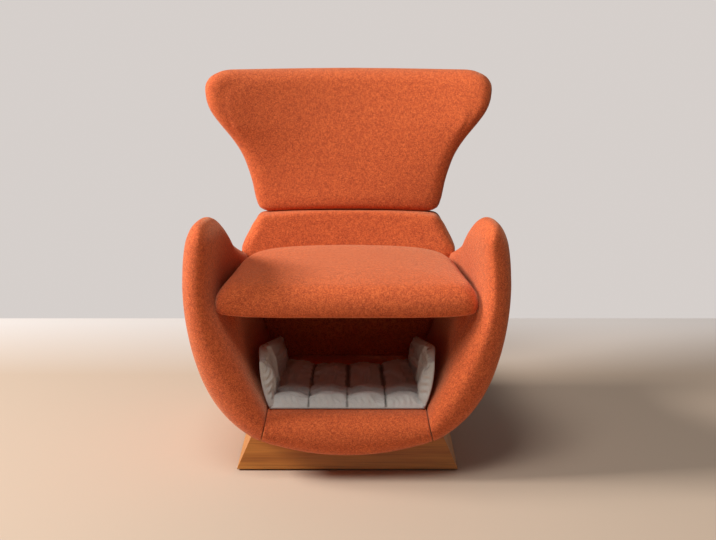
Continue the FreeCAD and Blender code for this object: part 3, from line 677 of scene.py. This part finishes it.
aside = seam_route(1) - seam_route(-1)
stitches("topstitch_right", seam_route(), aside, 1.0)
stitches("topstitch_left", seam_route(), aside, -1.0)


# Rear of the tub
# Padded shell that closes the tub behind the seat and draws in to a plain back panel, with a
# recess in front for the lower back pad. Behind the pad it is fuller over the board's edges.

rear_depth = 0.200
neck_half_width = 0.250
neck_height = 0.552
neck_edge_drop = 0.003
rear_centre = 0.330
recess_half_width = 0.289
recess_low = 0.405
recess_depth = 0.0555
recess_fade = 0.003
back_lean = 0.34
shoulder_slope = 2.0 * arm_tail_fall / arm_back_y


def recess(x, z):
    """Depth of the recess: the back of the lower pad, faded in over a few millimetres."""
    side = np.clip((recess_half_width + recess_fade - np.abs(x)) / (2.0 * recess_fade), 0.0, 1.0)
    foot = np.clip((z - recess_low + recess_fade) / (2.0 * recess_fade), 0.0, 1.0)
    return (recess_depth + back_lean * (z - shelf_height)) * side * foot


def rear_outline():
    """Closed outline of the tub at the back of the arms, from the keel up each side: x, z and
    how far the point follows the shoulder that falls away behind the arm."""
    p = arm_points(np.array([arm_back_y]))[:6, 0]
    p = np.column_stack([p, [0.0, 0.0, 0.0, 0.5, 1.0, 1.0]])
    neck = np.array([neck_half_width, neck_height - neck_edge_drop, 0.0])
    notch = np.array([0.2855, 0.448, 1.0])
    flare = np.array([0.2755, 0.4905, 0.5])
    keel = np.array([0.0, keel_height, 0.0])
    crown = np.array([0.0, neck_height, 0.0])
    over = np.array([-1.0, 1.0, 1.0])
    loop = closed_path(
        (p[0], 60, p[1]), (p[2], 50, p[3]), (p[4], 12), (p[5], 16), (notch, 34, flare),
        (neck, 120, crown), (neck * over, 34, flare * over), (notch * over, 16),
        (p[5] * over, 12), (p[4] * over, 50, p[3] * over), (p[2] * over, 60, p[1] * over),
        (p[0] * over, floor_points, keel),
    )
    return softened(loop, 3.5)


# Rings from the recess to the back, and then over the flat panel, where share and bulge say how
# far the ring is drawn in and stands out
ring_steps = 44
cap_share = 0.97
rear_power = 2.4
side_draw = 0.62
top_draw = 0.12
panel_share = [0.985, 0.95, 0.8, 0.6, 0.35, 0.1]
panel_bulge = [0.0035, 0.0055, 0.0075, 0.009, 0.010, 0.0105]
outline = rear_outline()
front_y = arm_back_y + recess(outline[:, 0], outline[:, 1])
steps = np.concatenate([np.linspace(0.0, 1.0, ring_steps), np.ones(len(panel_share))])[:, None]
rear_y = arm_back_y + rear_depth * cap_share
ring_y = front_y + (rear_y - front_y) * steps
depth = np.clip((ring_y - arm_back_y) / rear_depth, 0.0, 0.999)
left = (1.0 - depth ** rear_power) ** (1.0 / rear_power)
rise = outline[:, 1] - rear_centre
panel = np.concatenate([np.ones(ring_steps), panel_share])[:, None]
bulge = np.concatenate([np.zeros(ring_steps), panel_bulge])[:, None]
fall = outline[:, 2] * shoulder_slope * (ring_y - front_y)
drawn = np.where(rise < 0.0, left, 1.0 - top_draw * (1.0 - left))
rear_x = outline[:, 0] * (1.0 - side_draw * (1.0 - left)) * panel
rear_z = rear_centre + (rise * drawn - fall) * panel

# Fullness that covers the side edges of the board inside
board_x, board_y, board_z = 0.279, 0.252, 0.470
board_reach, board_depth_reach = 0.034, 0.040
board_out, board_up = 0.016, 0.006
beside = (np.abs(outline[:, 0]) - board_x) ** 2 + (outline[:, 1] - board_z) ** 2
over_board = np.exp(-beside / board_reach ** 2)
over_board = over_board * np.exp(-((ring_y - board_y) / board_depth_reach) ** 2)
rear_x = rear_x + np.sign(outline[:, 0]) * board_out * over_board
rear_z = rear_z + board_up * over_board
body_rings = np.stack([rear_x, ring_y + bulge * 0.55, rear_z], axis=-1)
face_share = np.linspace(0.02, 0.99, 70)[:, None]
face_x = outline[:, 0] * face_share
face_z = rear_centre + rise * face_share
face_rings = np.stack([face_x, arm_back_y + recess(face_x, face_z), face_z], axis=-1)
tub_rear = closed_skin("tub_rear", np.concatenate([face_rings, body_rings]))
upholstered(tub_rear, wool, "wool", 0.9, "tub_back")


# Rear wall of the nest
# Upholstered board between the sides, behind the mat.

wall_gap = 0.001
wall_lift = 0.0005

# How full each ring of the board is, and its place in depth, from the front face to the back
wall_profile = np.array([
    [0.05, 0.1325], [0.3, 0.1326], [0.55, 0.1329], [0.75, 0.1334], [0.88, 0.1342], [0.95, 0.1352],
    [0.985, 0.1368], [1.0, 0.139], [1.0, 0.146], [0.985, 0.1495], [0.5, 0.1495], [0.05, 0.1495],
])


def nest_wall_loop():
    """Closed outline of the board: the nest at the back of the arms, less a thin gap."""
    p = arm_points(np.array([arm_back_y]))[:, 0] - np.array([wall_gap, 0.0])
    top, wall, foot = p[8] - [0.0, wall_gap], p[9], p[10] + [0.0, wall_lift]
    loop = closed_path(
        (foot, 60, wall), (top, 120), (top * flip, 60, wall * flip), (foot * flip, 92),
    )
    return softened(loop, 0.8)


wall_loop = nest_wall_loop()
wall_centre = np.array([0.0, mix(nest_floor, shelf_height, 0.5)])
wall_flat = wall_centre + (wall_loop - wall_centre) * wall_profile[:, :1, None]
wall_y = np.broadcast_to(wall_profile[:, 1:], wall_flat.shape[:2])
wall_rings = np.stack([wall_flat[..., 0], wall_y, wall_flat[..., 1]], axis=-1)
nest_back = closed_skin("nest_back_pad", wall_rings)
upholstered(nest_back, wool, "wool", 0.9, "nest_back_wall")


# Seat cushion
# Upholstered block of foam on a plywood board, wider than the mouth of the nest, with a crown
# and a full rounded edge, drawn in towards the back between the arms.

def smooth_through(knots, values, at):
    """Natural cubic spline: the curve through the values at the knots that bends least."""
    knots = np.asarray(knots, float)
    values = np.asarray(values, float)
    step = np.diff(knots)
    count = len(knots)
    system = np.eye(count)
    inner = np.arange(1, count - 1)
    system[inner, inner - 1] = step[:-1]
    system[inner, inner] = 2.0 * (step[:-1] + step[1:])
    system[inner, inner + 1] = step[1:]
    slope = np.diff(values, axis=0) / step.reshape((-1,) + (1,) * (values.ndim - 1))
    bend = np.zeros_like(values)
    bend[1:-1] = 6.0 * np.diff(slope, axis=0)
    bend = np.linalg.solve(system, bend.reshape(count, -1)).reshape(values.shape)
    k = np.clip(np.searchsorted(knots, at) - 1, 0, count - 2)
    shape = (-1,) + (1,) * (values.ndim - 1)
    h = step[k].reshape(shape)
    a = ((knots[k + 1] - at).reshape(shape)) / h
    b = 1.0 - a
    curve = a * values[k] + b * values[k + 1]
    return curve + ((a ** 3 - a) * bend[k] + (b ** 3 - b) * bend[k + 1]) * h ** 2 / 6.0


def levelled(flat, heights):
    """Flat sections, an array of points by sections by 2, put at their heights."""
    return np.concatenate([flat, np.broadcast_to(heights, flat.shape[:2])[..., None]], axis=-1)


seat_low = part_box("seat_cushion")[0]
seat_front = -0.345
seat_half = 0.3125
seat_tail_half = 0.280
seat_corner = 0.030
seat_tail_corner = 0.040
seat_top_tail_corner = 0.105
seat_top = 0.493
seat_sag = 0.0003
seat_bow = 0.006
seat_back = 0.1485
seat_middle = np.array([0.0, -0.1])
corner_cut = 0.293
lumbar_wrap = 0.025
wrap_half = 0.287


def seat_loops(inset, share, height):
    """Plan outline at each inset: bowed front, round corners, sides that close in to the back.
    The back corners grow rounder from the middle of the height up. The outline is then drawn
    towards the middle of the seat to the given share."""
    upper = np.clip((height - 0.3) / 0.4, 0.0, 1.0)
    tail_corner = mix(seat_tail_corner, seat_top_tail_corner, upper)
    front = seat_front + inset
    wide = seat_half - inset
    narrow = seat_tail_half - inset
    bend = corner_cut * seat_corner
    tail_bend = corner_cut * tail_corner
    tail_y = seat_back - lumbar_wrap * (narrow / wrap_half) ** 2 - inset
    corner = point(wide - seat_corner, front + seat_bow)
    corner_mid = point(wide - bend, front + seat_bow + bend)
    corner_side = point(wide, front + seat_bow + seat_corner)
    tail_side = point(narrow, tail_y - tail_corner)
    tail_mid = point(narrow - tail_bend, tail_y - tail_bend)
    tail = point(narrow - tail_corner, tail_y)
    loops = closed_path(
        (corner, 20, corner_mid), (corner_side, 76), (tail_side, 32, tail_mid),
        (tail, 84, point(0.0, seat_back - inset)), (tail * flip, 32, tail_mid * flip),
        (tail_side * flip, 76), (corner_side * flip, 20, corner_mid * flip),
        (corner * flip, 106, point(0.0, front)),
    )
    loops = softened(loops, 7.0)
    return seat_middle + (loops - seat_middle) * share[:, None]


# Edge from the middle of the underside to the middle of the top: share of the height, inset
# and share of the outline
seat_edge = np.array([
    [0.0, 0.020, 0.02], [0.0, 0.020, 0.5], [0.0, 0.020, 0.95], [0.0, 0.0110, 1.0],
    [0.012, 0.0060, 1.0], [0.06, 0.0028, 1.0], [0.16, 0.0006, 1.0], [0.34, 0.0, 1.0],
    [0.54, 0.0055, 1.0], [0.70, 0.0165, 1.0], [0.81, 0.031, 1.0], [0.865, 0.036, 0.93],
    [0.91, 0.038, 0.84], [0.945, 0.040, 0.72], [0.973, 0.040, 0.56], [0.99, 0.040, 0.36],
    [0.998, 0.040, 0.16], [1.0, 0.040, 0.02],
])
knots = np.arange(len(seat_edge))
profile = smooth_through(knots, seat_edge, np.linspace(0.0, len(seat_edge) - 1.0, 104))
profile[:, 0] = np.clip(profile[:, 0], 0.0, 1.0)
seat_flat = seat_loops(profile[:, 1], profile[:, 2], profile[:, 0])

# The underside is drawn up a little at the front corners
lifted_x, lifted_y, lift_reach, lift = 0.300, -0.330, 0.050, 0.003
corner_reach = np.hypot(np.abs(seat_flat[..., 0]) - lifted_x, seat_flat[..., 1] - lifted_y)
outer_rings = np.clip((profile[:, 2] - 0.9) / 0.1, 0.0, 1.0)
corner_lift = lift * np.exp(-(corner_reach / lift_reach) ** 2) * outer_rings
seat_z = mix(seat_low.z - seat_sag + corner_lift, seat_top, profile[:, 0])
seat_rings = levelled(seat_flat, seat_z)
seat = closed_skin("seat_cushion_cover", seat_rings.transpose(1, 0, 2))
stuffed(seat, reach=0.003, voxel=0.006)
upholstered(seat, wool, "wool", 0.85, "seat_cushion")


# Lower back
# Firm lumbar pad between the seat and the winged back. Its ends flare out to the arms and its
# top corners are cut off where the upper back sits.

lumbar_top = 0.5572
lumbar_gap = 0.0006
lumbar_thick = 0.0546
lumbar_foot_y = 0.2046
lumbar_tip = 0.003
lumbar_tip_bulge = 0.001
crease_drop = 0.0095
crease_half = 0.240


def crease_fall(x, near):
    """How far the crease between the two backs sinks towards its ends: the square of the distance
    from the middle, taken whole where near is 1."""
    return crease_drop * (x / crease_half) ** 2 * near


# Half width of the pad from its foot to its top, as share of the height and half width
lumbar_half_at = np.array([
    [0.0, 0.262], [0.12, 0.268], [0.21, 0.279], [0.30, 0.2895], [0.37, 0.2915], [0.46, 0.2865],
    [0.57, 0.2775], [0.7, 0.2675], [0.82, 0.2590], [0.91, 0.2515], [0.96, 0.2460], [1.0, 0.2385],
])


def rounded_span(low, high, low_round, high_round, low_loss, high_loss, ends, count):
    """Heights from low to high and the share of the thickness at each. Both ends turn over a
    quarter of an ellipse that takes a share of the thickness, and then close flat."""
    turn = np.linspace(0.0, math.pi / 2.0, ends)
    flat = np.linspace(0.0, 1.0, 7)[:-1]
    heights = np.concatenate([
        np.full(6, low), low + low_round * (1.0 - np.cos(turn)),
        np.linspace(low + low_round, high - high_round, count)[1:-1],
        high - high_round * (1.0 - np.cos(turn[::-1])), np.full(6, high),
    ])
    shares = np.concatenate([
        flat * (1.0 - low_loss), 1.0 - low_loss * (1.0 - np.sin(turn)), np.ones(count - 2),
        1.0 - high_loss * (1.0 - np.sin(turn[::-1])), flat[::-1] * (1.0 - high_loss),
    ])
    return heights, shares


lumbar_z, lumbar_full = rounded_span(
    shelf_height + lumbar_gap, lumbar_top, low_round=0.006, high_round=0.010,
    low_loss=0.2, high_loss=0.22, ends=10, count=44,
)
lumbar_share = (lumbar_z - shelf_height) / (lumbar_top - shelf_height)
lumbar_half = smooth_through(lumbar_half_at[:, 0], lumbar_half_at[:, 1], lumbar_share)
lumbar_back = lumbar_foot_y + back_lean * (lumbar_z - shelf_height)
lumbar_front = lumbar_back - lumbar_thick


def lumbar_loops(half, front, back, full):
    """Level sections: a band with rounded ends that wraps forward by a parabola."""
    end = front - lumbar_wrap * (half / wrap_half) ** 2
    rear = point(half - lumbar_tip, back)
    side = point(half + lumbar_tip_bulge, (end + back) / 2.0)
    tip = point(half - lumbar_tip, end)
    loops = closed_path(
        (side, 13), (tip, 140, point(0.0, front)), (tip * flip, 13), (side * flip, 13),
        (rear * flip, 140), (rear, 13),
    )
    return pinched(softened(loops, 3.0), full)


lumbar_flat = lumbar_loops(lumbar_half, lumbar_front, lumbar_back, lumbar_full)
lumbar_rings = levelled(lumbar_flat, lumbar_z)
lumbar_rings[..., 2] -= crease_fall(lumbar_rings[..., 0], lumbar_share ** 2)
lower_back = closed_skin("lower_back_cover", lumbar_rings.transpose(1, 0, 2), (False, False))
stuffed(lower_back, reach=0.002, voxel=0.005)
upholstered(lower_back, wool, "wool", 0.9, "lower_back")


# Winged upper back
# Curved shell with thin foam and full rounded edges, narrow at its foot and sweeping out to two
# wings that come forward. It leans back on two steel posts.

crease = 0.560
wing_height = 0.377
wing_foot_drop = 0.004
wing_reach = 0.392
wing_wrap = 0.095
wing_thick = (0.100, 0.084)
wing_foot_y = 0.200
wing_lean = 0.325
wing_end_radius = 0.029

# Half width from the crease up, as share of the height and half width
wing_outline = np.array([
    [0.000, 0.2360], [0.012, 0.2450], [0.04, 0.2540], [0.10, 0.2620], [0.19, 0.2700],
    [0.28, 0.2810], [0.37, 0.2945], [0.45, 0.3120], [0.53, 0.3335], [0.62, 0.3590],
    [0.70, 0.3795], [0.78, 0.3915], [0.85, 0.3955], [0.895, 0.3945], [0.935, 0.3865],
    [0.965, 0.3735], [0.985, 0.3575], [0.996, 0.3415], [1.0, 0.3280],
])
wing_z, wing_full = rounded_span(
    crease - wing_foot_drop, crease + wing_height, low_round=0.022, high_round=0.034,
    low_loss=0.5, high_loss=1.0, ends=18, count=80,
)
wing_share = (wing_z - crease) / wing_height
wing_half = smooth_through(wing_outline[:, 0], wing_outline[:, 1], wing_share)


def wing_loops(share, half, full):
    """Level sections: a band bent to a parabola, with round ends square to the band."""
    wrap = wing_wrap * (half / wing_reach) ** 2 * np.minimum(1.0, 0.35 + 1.1 * share)
    thick = mix(*wing_thick, share)
    middle = wing_foot_y + wing_lean * wing_height * share + thick / 2.0
    tip_x = half - wing_end_radius
    tip_y = middle - wrap * (tip_x / half) ** 2
    turn = np.arctan(2.0 * wrap * tip_x / half ** 2)
    along = point(np.cos(turn), -np.sin(turn)) * wing_end_radius
    across = point(np.sin(turn), np.cos(turn)) * wing_end_radius
    tip = point(tip_x, tip_y)
    front, rear, end = tip - across, tip + across, tip + along
    front_corner = tip + (along - across) * math.sqrt(0.5)
    rear_corner = tip + (along + across) * math.sqrt(0.5)
    loops = closed_path(
        (end, 12, front_corner), (front, 150, point(0.0, middle - thick / 2.0)),
        (front * flip, 12, front_corner * flip), (end * flip, 12, rear_corner * flip),
        (rear * flip, 150, point(0.0, middle + thick / 2.0)), (rear, 12, rear_corner),
    )
    return pinched(softened(loops, 3.0), full)


wing_rings = levelled(wing_loops(wing_share, wing_half, wing_full), wing_z)
near_crease = np.clip(1.0 - wing_share / 0.5, 0.0, 1.0) ** 1.5
wing_rings[..., 2] -= crease_fall(wing_rings[..., 0], near_crease)
wings = closed_skin("winged_back_cover", wing_rings.transpose(1, 0, 2), (False, False))
stuffed(wings, reach=0.002, voxel=0.006)
upholstered(wings, wool, "wool", 0.9, "wing_back")


# Quilted mat
# Loose pad of grey cotton over wadding, quilted in four columns and three rows, with a flap
# that stands up along each side wall of the nest. The seams pull the cloth into puckers.

mat_front, mat_back, mat_back_middle = -0.270, 0.098, 0.034
mat_half = 0.186
mat_thick = 0.027
mat_seam = 0.006
mat_lift = 0.0004
mat_rows = np.array([-0.270, -0.209, -0.144, 0.098])
mat_back_narrowing = 0.07
mat_row_length = 0.065
seam_spread = 0.0032
slack_depth = 0.0016
pucker_depth = (0.0012, 0.0032)
crease_reach = 0.35
flap_lean = 0.030
flap_bend = 2.2
flap_height = 0.152
flap_back_height = 0.066
flap_corner_cut = 0.034
lip_rise = 0.0028
rim_reach = 0.0035

quilt, tree, shader, place = new_finish("grey_quilted_cotton", 0.8)
thread = noise(tree, place, 900.0, 2.0)
smudge = noise(tree, place, 14.0, 3.0)
cotton = ramp(tree, thread, (0.3, (0.55, 0.56, 0.53)), (0.7, (0.71, 0.72, 0.69)))
cotton = tinted(tree, cotton, 0.3, smudge, 0.35, 0.65, (0.78, 0.77, 0.76))
# Painted shade: the cotton is darkened towards each quilting seam, down to about a third of its
# colour, where the seam valleys lie in shade
shade = tree.nodes.new("ShaderNodeAttribute")
shade.attribute_name = "seam"
painted_seam_shade = ramp(tree, shade.outputs["Fac"], (0.1, (1.0, 1.0, 1.0)), (0.9, (0.32, 0.30, 0.28)))
cotton = blended(tree, "MULTIPLY", 1.0, cotton, painted_seam_shade)
tree.links.new(cotton, shader.inputs["Base Color"])
shader.inputs["Sheen Weight"].default_value = 0.15
woven = raised(tree, shader, weave_height(tree, place, 0.0011), 0.0003, 0.5)
raised(tree, shader, noise(tree, place, 70.0, 4.0, 0.6), 0.0012, 0.35, woven)


def mat_grid(columns, rows):
    """Path across the mat at each row: up the left flap, over the floor and up the right flap.

    The path is six cells long, one for each flap and four between them, and three rows deep.
    The height over the path is a root of the product of two half sine waves, one over each
    cell and one over each row, so each cell is full in the middle and pinched at its seams.
    The back edge is hollow: between the flaps it comes forward by the fourth power of the
    distance. The flaps lean out at the foot, stand up straight above it and have a round front
    corner. Small creases run square to each seam and die away from it."""
    cell = np.linspace(0.0, 6.0, columns)[None, :]
    band = np.linspace(0.0, 3.0, rows)[:, None]
    on_left = np.clip(1.0 - cell, 0.0, 1.0)
    on_right = np.clip(cell - 5.0, 0.0, 1.0)
    x = np.clip((cell - 1.0) / 4.0, 0.0, 1.0) * 2.0 * mat_half - mat_half
    share = (np.interp(band, np.arange(4.0), mat_rows) - mat_front) / (mat_back - mat_front)
    reach = mix(mat_back_middle, mat_back, (x / mat_half) ** 4) - mat_front
    y = mat_front + share * mix(mat_back - mat_front, reach, share)
    x = x * (1.0 - mat_back_narrowing * share)
    height = mix(flap_height, flap_back_height, share)
    height = height - flap_corner_cut * np.exp(-(share / 0.07) ** 2)
    lean = flap_lean * height / flap_height
    out_right = (on_right > 0.0) * lean * (1.0 - (1.0 - on_right) ** flap_bend)
    out_left = (on_left > 0.0) * lean * (1.0 - (1.0 - on_left) ** flap_bend)
    x = x + out_right - out_left
    up_flap = on_left + on_right
    z = nest_floor + mat_lift + up_flap * height
    slope = flap_bend * lean / height * (1.0 - up_flap) ** (flap_bend - 1.0)
    flap = np.hypot(slope, 1.0)
    nx = np.where(on_left > 0.0, 1.0 / flap, 0.0) - np.where(on_right > 0.0, 1.0 / flap, 0.0)
    nz = np.where(up_flap > 0.0, slope / flap, 1.0)
    across = np.abs(np.sin(math.pi * cell))
    down = np.abs(np.sin(math.pi * band))
    swell = across ** 0.22 * down ** 0.4
    near_row = np.exp(-(down / crease_reach) ** 2)
    near_column = np.exp(-(across / crease_reach) ** 2)
    ripple = np.sin(cell * 41.0 + 3.0 * np.sin(band * 5.7)) * near_row * across
    ripple = ripple + np.sin(band * 43.0 + 3.0 * np.sin(cell * 5.0)) * near_column * down
    slack = np.sin(cell * 7.3 + band * 3.7) * np.sin(cell * 3.1 - band * 7.7)
    pucker = mix(*pucker_depth, np.exp(-(band / crease_reach) ** 2))
    up = mat_seam + (mat_thick - mat_seam) * swell
    up = up + pucker * ripple * swell ** 0.3 + slack_depth * slack * swell
    column_gap = np.abs(cell - np.clip(np.round(cell), 1.0, 5.0)) * mat_half / 2.0
    row_gap = np.abs(band - np.clip(np.round(band), 1.0, 2.0)) * mat_row_length
    near = np.exp(-(np.minimum(column_gap, row_gap) / seam_spread) ** 2)
    return x, y, z, nx, nz, up, np.minimum(across, down) < 0.02, near


def drawn_to_line(ring):
    """One ring closed up to its own middle line."""
    return pinched(ring.transpose(1, 0, 2), np.zeros(1)).transpose(1, 0, 2)


x, y, z, nx, nz, up, sewn, near = mat_grid(217, 133)
top = np.stack([x + nx * up, y, z + nz * up], axis=-1)
base = np.stack([x + nx * mat_lift, y, z + nz * mat_lift], axis=-1)
edge = (top + base) / 2.0
lip = np.array([0.0, 0.0, lip_rise])
mat_rings = np.concatenate([edge[:, :1] + lip, top, edge[:, -1:] + lip, base[:, ::-1]], axis=1)
rim = np.array([0.0, rim_reach, 0.0])
first = drawn_to_line(mat_rings[:1]) - rim
last = drawn_to_line(mat_rings[-1:]) + rim
on_top = (slice(1, -1), slice(1, 1 + sewn.shape[1]))
held = np.ones((len(mat_rings) + 2, mat_rings.shape[1]), bool)
held[on_top] = sewn
seam = np.zeros(held.shape)
seam[on_top] = near
mat_rings = np.concatenate([first, mat_rings, last])
mat = closed_skin("quilted_mat", mat_rings, (False, False), held, seam)
filled(mat, reach=0.0045, pressure=1.0, stretch=12.0, bend=0.1, growth=0.08, seams="held")
mat.vertex_groups.clear()
upholstered(mat, quilt, "quilt", 0.5, "pet_mat")


# Room
# Plain floor in a warm pale tone that ends where the wall of the room would stand, a pale
# background seen behind it, a large soft lamp far off on the left and a weaker one overhead,
# a little in front.

floor_reach = 9.0
floor_back = 1.06
near_tone, far_tone = (0.56, 0.435, 0.33), (0.74, 0.685, 0.65)

pale, tree, shader, place = new_finish("pale_floor", 0.7)
deep = new_node(tree, "SeparateXYZ", Vector=place).outputs["Y"]
tone = ramp(tree, deep, (0.45, near_tone), (1.0, far_tone))
tree.links.new(tone, shader.inputs["Base Color"])
ends = [(-floor_reach, -floor_reach), (floor_reach, -floor_reach), (floor_reach, floor_back),
        (-floor_reach, floor_back)]
room = meshed("pale_floor", [(*end, 0.0) for end in ends], [(0, 1, 2, 3)])
room.data.materials.append(pale)


def lamp(name, size, energy, place, target, colour):
    """Soft rectangular lamp at a place, turned towards a target."""
    light = bpy.data.lights.new(name, "AREA")
    light.shape = "RECTANGLE"
    light.size, light.size_y = size
    light.energy = energy
    light.color = colour
    thing = placed(name, light)
    thing.location = place
    thing.rotation_euler = (Vector(target) - Vector(place)).to_track_quat("-Z", "Y").to_euler()


lamp("window", size=(2.0, 2.0), energy=520.0, place=(-5.2, -0.6, 4.0), target=(0.0, 0.0, 0.5),
     colour=(1.0, 0.97, 0.94))
lamp("overhead", size=(1.6, 1.6), energy=98.0, place=(-0.8, -2.1, 4.4), target=(0.0, 0.0, 0.4),
     colour=(1.0, 0.98, 0.96))

# The room lights the chair faintly, and its wall is seen, and mirrored, at a strength of 1
world = bpy.data.worlds.new("room")
bpy.context.scene.world = world
world.use_nodes = True
sky = world.node_tree
ambient = sky.nodes["Background"]
ambient.inputs["Color"].default_value = (0.90, 0.88, 0.86, 1.0)
ambient.inputs["Strength"].default_value = 0.07
wall = new_node(sky, "Background", Color=(0.67, 0.625, 0.60, 1.0), Strength=1.0)
rays = new_node(sky, "LightPath").outputs
seen = rays["Is Camera Ray"]
for kind in ("Is Glossy Ray", "Is Transmission Ray"):
    seen = maths(sky, "MAXIMUM", seen, rays[kind])
choice = new_node(sky, "MixShader")
for i, value in enumerate((seen, ambient.outputs[0], wall.outputs[0])):
    feed(sky, choice.inputs[i], value)
sky.links.new(choice.outputs[0], sky.nodes["World Output"].inputs["Surface"])

camera_tilt = 10.5
camera_data = bpy.data.cameras.new("camera")
camera_data.lens = 57.6
camera_data.sensor_width = 36.0
camera_data.shift_y = -0.095
camera = placed("camera", camera_data)
camera.location = (0.026, -2.880, 1.152)
camera.rotation_euler = (math.radians(90.0 - camera_tilt), 0.0, 0.0)
bpy.context.scene.camera = camera
bpy.context.scene.view_settings.view_transform = "Standard"
